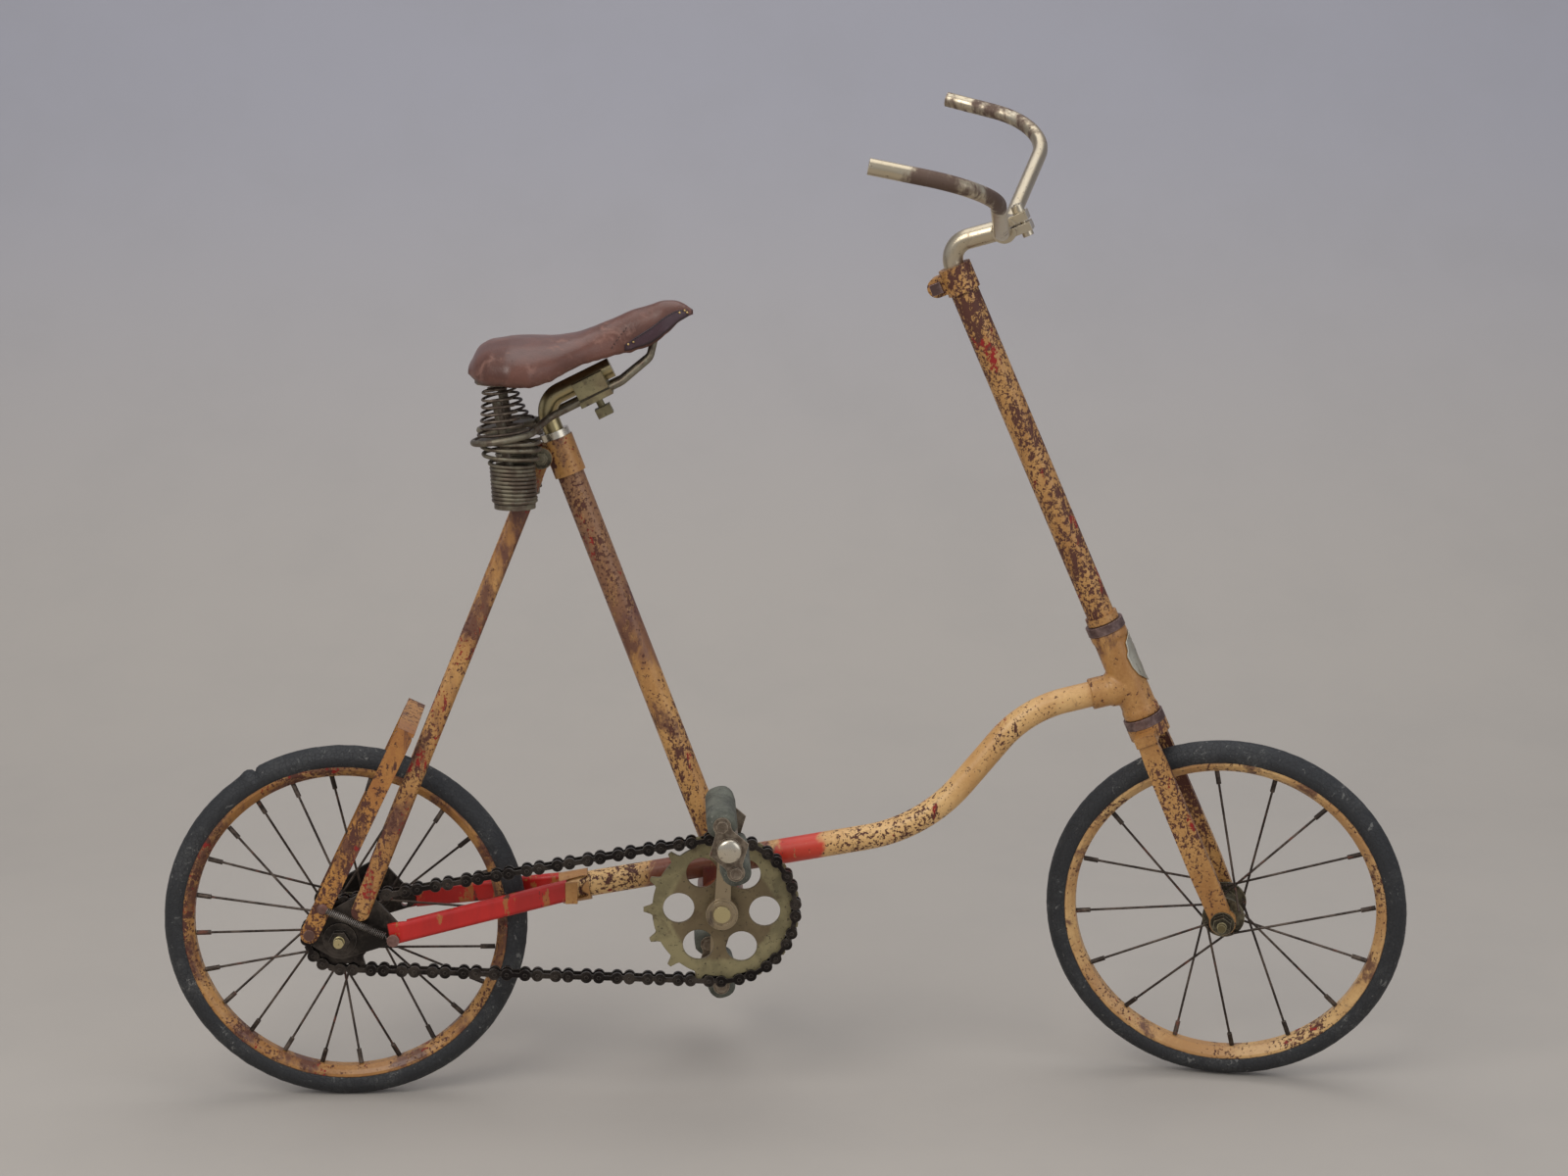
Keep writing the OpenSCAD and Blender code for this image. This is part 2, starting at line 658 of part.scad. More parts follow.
module handlebar() color("silver") steered()
    pipe([[bar_end[0], -bar_end[1], bar_end[2]], [bar_corner[0], -bar_corner[1], bar_corner[2]],
        bar_at + [0, -24, 0], bar_at + [0, 24, 0], bar_corner, bar_end],
        [bar_bend_r, 25, 25, bar_bend_r], bar_d, bar_d - 3);

// ---- wheels, about an axle along Y ----

module tyre() rotate([90, 0, 0]) rotate_extrude($fn = 96) translate([tyre_centre_r, 0]) circle(r = tyre_r);

// Rim section: a trough that holds the tyre.
module rim() rotate([90, 0, 0]) rotate_extrude($fn = 96) difference() {
    polygon([[rim_inner_r, -4], [rim_inner_r, 4], [rim_inner_r + 3, rim_half - 2], [rim_inner_r + 6, rim_half],
        [rim_inner_r + 12, rim_half + 0.8], [rim_inner_r + 12, -rim_half - 0.8], [rim_inner_r + 6, -rim_half],
        [rim_inner_r + 3, -rim_half + 2]]);
    translate([tyre_centre_r, 0]) circle(r = tyre_r + 0.1);
}

// One laced spoke with its nipple. Odd spokes lie inside the flange, even ones outside.
module spoke(rim_angle, lead, side, flange_y, inside) {
    start_y = side * (inside ? flange_y - flange_t / 2 - spoke_d / 2 - 0.2 : flange_y + flange_t / 2 + spoke_d / 2 + 1.8);
    hub_angle = rim_angle + lead;
    start = [hub_hole_r * cos(hub_angle), start_y, hub_hole_r * sin(hub_angle)];
    goal = [rim_inner_r * cos(rim_angle), 0, rim_inner_r * sin(rim_angle)];
    back = unit(start - goal);
    finish = goal + 0.6 * back;
    rod(start, finish + 3 * back, spoke_d);
    rod(finish, finish + nipple_length * back, nipple_d);
    translate(start) sphere(d = spoke_d + 0.4, $fn = 24);
    tip_y = side * (inside ? flange_y + flange_t / 2 + 0.6 : flange_y - flange_t / 2 - 0.6);
    rod(start, [start[0], tip_y, start[2]], spoke_d);
}

// All spokes of a wheel, alternating sides and lacing directions.
module spokes(count, flange_y, lead, first) {
    for (k = [0:count - 1]) {
        inside = floor(k / 2) % 2 == 0;
        spoke(first + k * 360 / count, inside ? lead : -lead, k % 2 == 0 ? 1 : -1, flange_y, inside);
    }
}

// Hub shell: two drilled flanges on a barrel, with a stepped bore for cones.
module hub(count, flange_y, barrel_d, lead, first, end_y) difference() {
    union() {
        disc(barrel_d, -end_y, end_y);
        both_sides() disc(2 * flange_r, flange_y - flange_t / 2, flange_y + flange_t / 2);
    }
    disc(hub_bore_d, -60, 60);
    for (k = [0:count - 1]) {
        inside = floor(k / 2) % 2 == 0;
        side = k % 2 == 0 ? 1 : -1;
        rotate([0, -(first + k * 360 / count + (inside ? lead : -lead)), 0])
            translate([hub_hole_r, side * flange_y, 0]) disc(spoke_d + 0.3, -3, 3);
    }
}

module front_tyre() color("dimgray") steered() tyre();

module front_rim() color("peru") steered() rim();

module front_hub() color("gray") steered() hub(front_spoke_count, front_flange_y, front_barrel_d, 62, 4, 20);

module front_spokes() color("silver") steered() spokes(front_spoke_count, front_flange_y, 62, 4);

module rear_tyre() color("dimgray") place() tyre();

module rear_rim() color("peru") place() rim();

module rear_hub() color("gray") place() {
    hub(rear_spoke_count, rear_flange_y, rear_barrel_d, 60, 4, rear_flange_y + 2);
    disc(rear_barrel_d, -chain_line - 4, -rear_flange_y - 2, hub_bore_d);
}

module rear_spokes() color("silver") place() spokes(rear_spoke_count, rear_flange_y, 60, 4);

// ---- drive ----

// Toothed disc: one hooked tooth for each pitch.
module toothed(teeth, pitch_r, phase) {
    circle(r = pitch_r - roller_d / 2 - 0.4, $fn = 96);
    for (i = [0:teeth - 1]) rotate(phase + i * 360 / teeth)
        translate([pitch_r, 0]) polygon([[-8, -5.4], [-3.4, -4.4], [-2, -3.4], [0.3, -2.7], [3.4, -1.6],
            [3.4, 1.6], [0.3, 2.7], [-2, 3.4], [-3.4, 4.4], [-8, 5.4]]);
}

module sprocket_plate(y) translate([0, y, 0]) rotate([90, 0, 0]) translate([0, 0, -ring_t / 2])
    linear_extrude(ring_t) children();

module rear_sprocket() color("dimgray") place() difference() {
    sprocket_plate(-chain_line) toothed(sprocket_teeth, sprocket_r, sprocket_phase);
    disc(rear_barrel_d + 2 * fit, -60, 60);
}

module chainring() color("darkkhaki") crank_frame() difference() {
    sprocket_plate(-chain_line) difference() {
        toothed(chainring_teeth, chainring_r, chainring_phase);
        for (i = [0:5]) rotate(i * 60 - 3) translate([window_at, 0]) circle(d = window_d);
    }
    disc(crank_axle_d + 2 * fit, -80, 80);
}

module crank_axle() color("gray") crank_frame() {
    disc(crank_axle_d, -crank_y - crank_t / 2 - 1, crank_y + crank_t / 2 + 1);
    disc(crank_axle_d + 6, -chain_line + ring_t / 2 + fit, -bb_half - 3 - skin);
}

// Cottered crank with a round boss at each end.
module crank(angle, side) rotate([0, -angle, 0]) difference() {
    union() {
        disc(2 * boss_r, side * crank_y - crank_t / 2, side * crank_y + crank_t / 2);
        scale_side(side) disc(2 * boss_r - 4, crank_y, crank_y + crank_t / 2 + boss_ring, crank_axle_d + 4);
        translate([crank_length, 0, 0]) disc(2 * eye_boss_r, side * crank_y - crank_t / 2, side * crank_y + crank_t / 2);
        translate([0, side * crank_y + 3.5, 0]) rotate([90, 0, 0]) linear_extrude(7)
            polygon([[0, -arm_w / 2 - 1], [crank_length, -arm_w / 2 + 1], [crank_length, arm_w / 2 - 1], [0, arm_w / 2 + 1]]);
    }
    disc(crank_axle_d + 2 * fit, -80, 80);
    translate([crank_length, 0, 0]) disc(spindle_d + 2 * fit, -80, 80);
}

module crank_right() color("gray") crank_frame() crank(crank_rest, -1);

module crank_left() color("gray") crank_frame() crank(crank_rest + 180, 1);

// Carries children to a pedal's axis on the given side, outward along +Y before mirroring.
module at_pedal(side) {
    angle = side < 0 ? crank_rest : crank_rest + 180;
    crank_frame() translate([crank_length * cos(angle), 0, crank_length * sin(angle)])
        scale_side(side) children();
}

module scale_side(side) {
    if (side < 0) mirror([0, 1, 0]) children();
    else children();
}

module pedal_spindles() color("silver") for (side = [-1, 1]) at_pedal(side) {
    disc(spindle_d, crank_y - crank_t / 2, pedal_in + pedal_length + 2);
    disc(14, pedal_in - 3.5, pedal_in - skin);
}

// Two waisted end plates on a barrel, with the bolts that pass through the blocks.
module pedal_cage() rotate([0, -pedal_tilt, 0]) {
    for (y = [pedal_in, pedal_in + pedal_length - 2]) difference() {
        translate([0, y + 2, 0]) rotate([90, 0, 0]) linear_extrude(2) union() {
            polygon([[-16, 0], [-7, 14], [-6, pedal_gap / 2], [6, pedal_gap / 2], [7, 14], [16, 0], [7, -14],
                [6, -pedal_gap / 2], [-6, -pedal_gap / 2], [-7, -14]]);
            for (s = [-1, 1]) translate([0, s * pedal_gap / 2]) circle(r = 7);
            circle(r = 12);
        }
        disc(spindle_d + 2 * fit, 0, 200);
        for (s = [-1, 1]) translate([0, 0, s * pedal_gap / 2]) disc(5 + 2 * fit, 0, 200);
    }
    disc(16, pedal_in + 2, pedal_in + pedal_length - 2, spindle_d + 2 * fit);
    disc(19, pedal_in + pedal_length, pedal_in + pedal_length + 4, spindle_d + 2 * fit);
    for (s = [-1, 1]) translate([0, 0, s * pedal_gap / 2]) {
        disc(5, pedal_in - 2, pedal_in + pedal_length + 2);
        disc(9, pedal_in + pedal_length + fit, pedal_in + pedal_length + 3);
        disc(9, pedal_in - 2.5, pedal_in - fit);
    }
}

// Ribbed rubber blocks above and below the barrel.
module pedal_blocks() rotate([0, -pedal_tilt, 0]) for (s = [-1, 1])
    translate([0, pedal_in + 2 + fit, s * pedal_gap / 2]) difference() {
        rotate([-90, 0, 0]) linear_extrude(pedal_length - 4 - 2 * fit) difference() {
            translate([-block_w / 2, -block_t / 2]) square([block_w, block_t]);
            for (e = [-1, 1]) for (k = [-1:1])
                translate([e * block_w / 2, k * 6]) circle(r = 1.2, $fn = 16);
        }
        disc(5 + 2 * fit, -10, 200);
    }

module pedal_cage_right() color("gray") at_pedal(-1) pedal_cage();

module pedal_cage_left() color("gray") at_pedal(1) pedal_cage();

module pedal_blocks_right() color("slategray") at_pedal(-1) pedal_blocks();

module pedal_blocks_left() color("slategray") at_pedal(1) pedal_blocks();

// Chain path: two straight runs and two arcs about the sprockets.
centres = norm([crank_x, crank_z]);
rise = atan2(crank_z, crank_x);
wrap = asin((chainring_r - sprocket_r) / centres);
straight = centres * cos(wrap);
front_arc = chainring_r * (180 + 2 * wrap) * PI / 180;
rear_arc = sprocket_r * (180 - 2 * wrap) * PI / 180;
chain_length = 2 * straight + front_arc + rear_arc;
link_count = round(chain_length / tooth_pitch);
step = chain_length / link_count;

// Point at distance s along the path, from the chainring's top tangent forward and round.
function chain_point(s) =
    s < front_arc ? [crank_x, crank_z] + chainring_r * heading(rise + 90 + wrap - s / chainring_r * 180 / PI)
    : s < front_arc + straight ? [crank_x, crank_z] + chainring_r * heading(rise - 90 - wrap)
        + (s - front_arc) * heading(rise + 180 - wrap)
    : s < front_arc + straight + rear_arc ? sprocket_r * heading(rise - 90 - wrap
        - (s - front_arc - straight) / sprocket_r * 180 / PI)
    : sprocket_r * heading(rise + 90 + wrap)
        + (s - front_arc - straight - rear_arc) * heading(rise + wrap);
function heading(a) = [cos(a), sin(a)];
function wrapped(s) = s >= chain_length ? s - chain_length : s;

// A tooth stands in the wide gap nearest to the middle of each wrap.
first_gap = (roller_gap + step) / 2;
function gap_at(s) = round((s - first_gap) / step) * step + first_gap;
chainring_phase = rise + 90 + wrap - gap_at(front_arc / 2) / chainring_r * 180 / PI;
sprocket_phase = rise - 90 - wrap
    - (gap_at(front_arc + straight + rear_arc / 2) - front_arc - straight) / sprocket_r * 180 / PI;

module link_plate(p, q, y, thick) {
    d = q - p;
    translate([p[0], y, p[1]]) rotate([90, 0, 0]) rotate([0, 0, atan2(d[1], d[0])])
        translate([0, 0, -thick / 2]) linear_extrude(thick) difference() {
            union() {
                for (x = [0, norm(d)]) translate([x, 0]) circle(d = link_h, $fn = 24);
                translate([0, -link_waist / 2]) square([norm(d), link_waist]);
            }
            for (x = [0, norm(d)]) translate([x, 0]) circle(d = pin_d + 2 * fit, $fn = 24);
        }
}

// Inner and outer side plates. One outer pair and one inner pair for each tooth pitch.
module chain_plates() color("dimgray") place() for (i = [0:link_count - 1]) {
    a = chain_point(wrapped(i * step));
    b = chain_point(wrapped(i * step + roller_gap));
    c = chain_point(wrapped((i + 1) % link_count * step));
    for (s = [-1, 1]) {
        link_plate(a, b, -chain_line + s * (roller_w / 2 + fit + link_t / 2), link_t);
        link_plate(b, c, -chain_line + s * (roller_w / 2 + 3 * fit + link_t * 1.5), link_t);
    }
}

// Rollers with their rivets.
module chain_rollers() color("gray") place() for (i = [0:link_count - 1]) for (s = [0, roller_gap]) {
    p = chain_point(wrapped(i * step + s));
    translate([p[0], -chain_line, p[1]]) {
        disc(roller_d, -roller_w / 2, roller_w / 2);
        disc(pin_d, -roller_w / 2 - 2 * link_t - 0.8, roller_w / 2 + 2 * link_t + 0.8);
    }
}

// ---- seat ----

module seat_post() color("silver") place()
    pipe([seat_top - 110 * seat_axis, post_corner, post_corner + post_leg * post_dir],
        [post_bend_r], post_d);

// Clamp block around the post's leg, with a plate under the rails and a square-headed bolt.
module saddle_clamp() color("darkkhaki") place() translate(saddle_clamp_at) rotate([0, -post_lean, 0]) {
    difference() {
        union() {
            translate([-13, -19, 1.5 - rail_drop]) cube([26, 38, rail_drop + 1]);
            translate([-14, -19, -rail_drop - 5]) cube([28, 38, 4.8]);
        }
        rotate([0, 90, 0]) translate([0, 0, -20]) cylinder(d = post_d + 2 * fit, h = 40);
        both_sides() translate([-20, 13, -rail_drop]) rotate([0, 90, 0]) cylinder(d = rail_d + 2 * fit, h = 40);
        translate([0, 0, -rail_drop - 10]) cylinder(d = clamp_bolt_d + 2 * fit, h = 13.5);
    }
    translate([0, 0, -rail_drop - 13]) cylinder(d = clamp_bolt_d, h = 16);
    translate([-6.5, -6.5, -rail_drop - 20]) cube([13, 13, 8]);
}

// Carries children to the foot of a spring rod, +Z along the rod.
module at_rod() translate([coil_foot[0], spring_y, coil_foot[2]]) rotate([0, -coil_lean, 0]) children();

// Wire frame: two rails from the nose past the clamp to a ring on each spring rod.
module saddle_rails() color("dimgray") place() {
    mid = saddle_clamp_at + rail_drop * [sin(post_lean), 0, -cos(post_lean)];
    ahead = mid + 24 * post_dir;
    behind = mid - 40 * post_dir;
    ring_mid = [coil_foot[0] - ring_at * sin(coil_lean), spring_y, coil_foot[2] + ring_at * cos(coil_lean)];
    both_sides() {
        pipe([saddle_nose + [7, 5, 8.6], saddle_nose + [2, 8, -12], ahead + [0, 13, 0], behind + [0, 13, 0],
            ring_mid + [ring_reach - 2, -6, 3]], [9, 14, 12], rail_d);
        at_rod() {
            translate([0, 0, -4]) cylinder(d = 8, h = rod_h + 4);
            translate([0, 0, ring_at - 1]) cylinder(r = ring_reach, h = 2);
            translate([0, 0, ring_at]) rotate_extrude() translate([ring_reach, 0]) circle(d = rail_d - 1);
        }
        translate([coil_foot[0], spring_y, coil_foot[2] - 5]) cylinder(d = coil_d - 4, h = 4);
    }
}

// Close-wound upright coil under each ring, around its rod.
module saddle_coils() color("dimgray") place() both_sides() translate([coil_foot[0], spring_y, coil_foot[2] - 1 + skin])
    coil_body([0, 0, 0], [0, 0, coil_turns * coil_wire + 0.5], coil_d, coil_wire);

// Conical helix, wide at the foot, from a to b.
module cone_spring(a, b, r0, r1, wire, turns) {
    sides = 8;
    rings = turns * 16;
    h = norm(b - a);
    function spot(i) = let (t = i / rings, r = r0 + (r1 - r0) * t, q = i * 360 / 16)
        [r * cos(q), r * sin(q), t * h];
    points = [for (i = [0:rings]) let (t = i / rings, q = i * 360 / 16, out = [cos(q), sin(q), 0])
        for (k = [0:sides - 1]) spot(i) + wire / 2 * (cos(k * 360 / sides) * out + sin(k * 360 / sides) * [0, 0, 1])];
    faces = concat([[for (k = [0:sides - 1]) k]],
        [for (i = [0:rings - 1]) for (k = [0:sides - 1])
            [i * sides + k, (i + 1) * sides + k, (i + 1) * sides + (k + 1) % sides, i * sides + (k + 1) % sides]],
        [[for (k = [sides - 1:-1:0]) rings * sides + k]]);
    along(a, b) polyhedron(points, faces);
}

module saddle_springs() color("darkseagreen") place() both_sides() at_rod()
    cone_spring([0, 0, cone_at], [0, 0, cone_at + cone_h], 20, 9, spring_wire, spring_turns);

// Steel cantle under the rear of the leather, seated on the springs, and a plate under the nose.
module saddle_plates() color("dimgray") place() {
    at_level = coil_foot[2] + (cone_at + cone_h) * cos(coil_lean) + spring_wire / 2 + 1.8;
    translate([0, 0, at_level]) linear_extrude(2.5)
        polygon([[117, -26], [120, -40], [128, -49], [150, -52], [156, -30], [150, -18], [150, 18], [156, 30],
            [150, 52], [128, 49], [120, 40], [117, 26]]);
    translate(saddle_nose + [0, 0, 14]) rotate([0, -30, 0]) translate([-12, -7, 0]) cube([24, 14, 2.5]);
}

// Leather top: arched sections from the broad rear to the nose.
saddle_crown = [[112, 462], [118, 476], [128, 482], [145, 485], [180, 485], [198, 487.5], [213, 493], [241, 505],
    [266, 513], [278, 512.5], [286, 509], [291, 504.5]];
saddle_edge = [[112, 459], [122, 452], [137, 452], [163, 450], [180, 455], [199, 464], [219, 469], [247, 475],
    [259, 479], [271, 489], [282, 498.5], [291, 502.5]];
saddle_half = [[112, 0.42], [118, 0.66], [128, 0.86], [145, 1], [163, 0.96], [180, 0.78], [198, 0.54],
    [213, 0.38], [230, 0.29], [266, 0.22], [282, 0.14], [291, 0.05]];
saddle_steps = 36;
arc_steps = 14;
function saddle_x(i) = 112 + (291 - 112) * i / saddle_steps;
function saddle_spot(i, j, inset) =
    let (x = saddle_x(i), q = 180 * j / arc_steps,
        w = max(lookup(x, saddle_half) * saddle_width / 2 - inset, 0.8),
        low = lookup(x, saddle_edge),
        high = max(lookup(x, saddle_crown) - inset, low + 0.8))
    [x + (i == 0 ? inset : i == saddle_steps ? -inset : 0), w * cos(q),
        low + (high - low) * pow(sin(q), 0.7)];

module saddle_top() color("sienna") place() {
    row = arc_steps + 1;
    count = (saddle_steps + 1) * row;
    points = concat([for (i = [0:saddle_steps]) for (j = [0:arc_steps]) saddle_spot(i, j, 0)],
        [for (i = [0:saddle_steps]) for (j = [0:arc_steps]) saddle_spot(i, j, leather)]);
    last = saddle_steps * row;
    faces = concat(
        [for (i = [0:saddle_steps - 1]) for (j = [0:arc_steps - 1])
            [i * row + j, i * row + j + 1, (i + 1) * row + j + 1, (i + 1) * row + j]],
        [for (i = [0:saddle_steps - 1]) for (j = [0:arc_steps - 1])
            [count + i * row + j, count + (i + 1) * row + j, count + (i + 1) * row + j + 1, count + i * row + j + 1]],
        [for (i = [0:saddle_steps - 1]) for (e = [[0, 1], [arc_steps, -1]])
            e[1] > 0 ? [i * row + e[0], (i + 1) * row + e[0], count + (i + 1) * row + e[0], count + i * row + e[0]]
                : [i * row + e[0], count + i * row + e[0], count + (i + 1) * row + e[0], (i + 1) * row + e[0]]],
        [for (j = [0:arc_steps - 1]) [j, count + j, count + j + 1, j + 1]],
        [for (j = [0:arc_steps - 1]) [last + j, last + j + 1, count + last + j + 1, count + last + j]]);
    polyhedron(points, faces);
}

main_tube();
head_lug();
head_badge();
headset_cups();
crank_bearings();
seat_tube();
seat_lug();
seat_bolt();
seat_collar();
rear_yoke();
chain_stays();
seat_stay_right();
seat_stay_left();
dropout_right();
dropout_left();
rear_axle();
rear_axle_nuts();
rear_cones();
stand_bolts();
bottom_bracket();
stand();
stand_spring();
riser_tube();
riser_clamp();
riser_bolt();
fork_crown();
fork_blades();
front_axle();
front_axle_nuts();
front_cones();
stem();
stem_bolt();
handlebar();
front_tyre();
front_rim();
front_hub();
front_spokes();
rear_tyre();
rear_rim();
rear_hub();
rear_spokes();
rear_sprocket();
chainring();
crank_axle();
crank_right();
crank_left();
pedal_spindles();
pedal_cage_right();
pedal_cage_left();
pedal_blocks_right();
pedal_blocks_left();
seat_post();
saddle_clamp();
saddle_rails();
saddle_coils();
saddle_springs();
saddle_plates();
saddle_top();
chain_plates();
chain_rollers();
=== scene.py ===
"""Looks of a small vintage trick bicycle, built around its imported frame.

Sizes are in millimetres from the rear hub's centre unless a line says otherwise:
+X forward, +Y to the rider's left, +Z up.
"""

import json
import math

import bpy
import numpy as np
from bpy.props import FloatProperty, FloatVectorProperty, IntProperty, PointerProperty
from mathutils import Matrix, Vector, noise

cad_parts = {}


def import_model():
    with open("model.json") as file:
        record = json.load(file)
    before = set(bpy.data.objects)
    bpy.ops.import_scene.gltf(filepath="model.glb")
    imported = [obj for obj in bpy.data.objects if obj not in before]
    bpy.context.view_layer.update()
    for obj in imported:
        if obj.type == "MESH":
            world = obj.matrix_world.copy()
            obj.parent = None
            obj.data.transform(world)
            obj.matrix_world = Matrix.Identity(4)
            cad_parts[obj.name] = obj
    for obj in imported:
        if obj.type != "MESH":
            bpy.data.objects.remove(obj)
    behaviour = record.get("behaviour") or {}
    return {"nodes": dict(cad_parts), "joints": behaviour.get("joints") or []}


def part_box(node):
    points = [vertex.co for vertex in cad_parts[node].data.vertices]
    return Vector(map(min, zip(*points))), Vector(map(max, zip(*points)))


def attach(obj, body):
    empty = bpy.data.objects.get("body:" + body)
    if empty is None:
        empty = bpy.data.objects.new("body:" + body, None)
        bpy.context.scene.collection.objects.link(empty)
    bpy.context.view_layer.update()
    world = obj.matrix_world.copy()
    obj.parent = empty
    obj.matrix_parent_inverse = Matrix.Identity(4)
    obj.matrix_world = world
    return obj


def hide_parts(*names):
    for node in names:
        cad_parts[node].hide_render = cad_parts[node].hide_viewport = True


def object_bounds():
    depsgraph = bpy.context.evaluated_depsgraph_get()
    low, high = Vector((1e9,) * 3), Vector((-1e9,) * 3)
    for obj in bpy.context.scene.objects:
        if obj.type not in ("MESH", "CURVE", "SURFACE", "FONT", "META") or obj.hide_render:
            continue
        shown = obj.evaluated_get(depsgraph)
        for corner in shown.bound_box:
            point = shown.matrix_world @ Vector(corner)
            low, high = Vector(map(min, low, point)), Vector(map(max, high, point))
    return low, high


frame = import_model()
CAD_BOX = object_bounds()
NODES = frame["nodes"]
JOINTS = {joint["name"]: joint for joint in frame["joints"]}
# Hub centres, and the directions of the steering and front axle
HUB = Vector(JOINTS["rear_wheel_spin"]["pos_m"])
FRONT_HUB = Vector(JOINTS["front_wheel_spin"]["pos_m"])
STEERING = Vector(JOINTS["steering"]["axis"]).normalized()
FRONT_AXLE = Vector(JOINTS["front_wheel_spin"]["axis"]).normalized()
MM = 0.001

CAMERA_PLACE = (270.301, -2277.563, 714.507)
CAMERA_TURN = (79.156, 0.050, -2.351)
LENS, SENSOR = 65.25, 36.0

bl_info = {
    "name": "Vintage trick bicycle",
    "version": (1, 0, 0),
    "blender": (4, 5, 0),
    "location": "3D View > Sidebar > Bicycle",
    "description": "Adds paint, metal, leather and rubber pieces around a packed bicycle frame",
    "category": "Object",
}


# ---------------------------------------------------------------- settings


def colour(name, text, value):
    return FloatVectorProperty(
        name=name, description=text, default=value, size=3, min=0.0, max=1.0, subtype="COLOR"
    )


class BikeColours(bpy.types.PropertyGroup):
    """Colours that a user would change."""

    gold: colour("Gold enamel", "Light part of the frame's enamel", (0.58, 0.31, 0.10))
    ochre: colour("Ochre enamel", "Darker part of the frame's enamel", (0.37, 0.165, 0.043))
    plum: colour("Aged brown", "Brown that shows where the gold has worn thin", (0.098, 0.030, 0.024))
    rust: colour("Rust", "Bare patches of the steel", (0.098, 0.030, 0.017))
    red: colour("Red enamel", "Under-coat and chain stays", (0.56, 0.014, 0.009))
    nickel: colour("Nickel", "Plating of the bar, stem and post", (0.60, 0.55, 0.45))
    brass: colour("Olive brass", "Chainring and clamp plate", (0.315, 0.265, 0.135))
    leather: colour("Leather", "Saddle top", (0.160, 0.060, 0.038))
    rubber: colour("Tyre rubber", "Both tyres", (0.022, 0.023, 0.025))
    block: colour("Pedal rubber", "Rubber blocks of the pedals", (0.150, 0.155, 0.120))


class BikeSizes(bpy.types.PropertyGroup):
    """Sizes of the pieces made here."""

    spring_wire: FloatProperty(
        name="Saddle spring wire", description="Thickness of the conical springs' wire",
        default=2.2 * MM, min=1 * MM, max=4 * MM, unit="LENGTH",
    )
    coil_wire: FloatProperty(
        name="Coil wire", description="Thickness of the close-wound coils' wire",
        default=3.2 * MM, min=2 * MM, max=5 * MM, unit="LENGTH",
    )
    stand_wire: FloatProperty(
        name="Stand spring wire", description="Thickness of the stand spring's wire",
        default=1.0 * MM, min=0.5 * MM, max=2 * MM, unit="LENGTH",
    )
    stitch_count: IntProperty(
        name="Stitches", description="Stitches along one edge of the nose patch", default=24, min=4, max=60
    )


def shades():
    return bpy.context.scene.bike_colours


def sizes():
    return bpy.context.scene.bike_sizes


# ---------------------------------------------------------------- materials


class Sock:
    """A node's output that can stand in arithmetic; each operator adds a Math node."""

    def __init__(self, finish, socket):
        self.finish, self.socket = finish, socket

    def math(self, operation, *terms):
        return self.finish.math(operation, *terms)

    def __add__(self, other):
        return self.math("ADD", self, other)

    def __sub__(self, other):
        return self.math("SUBTRACT", self, other)

    def __rsub__(self, other):
        return self.math("SUBTRACT", other, self)

    def __mul__(self, other):
        return self.math("MULTIPLY", self, other)

    __radd__ = __add__
    __rmul__ = __mul__


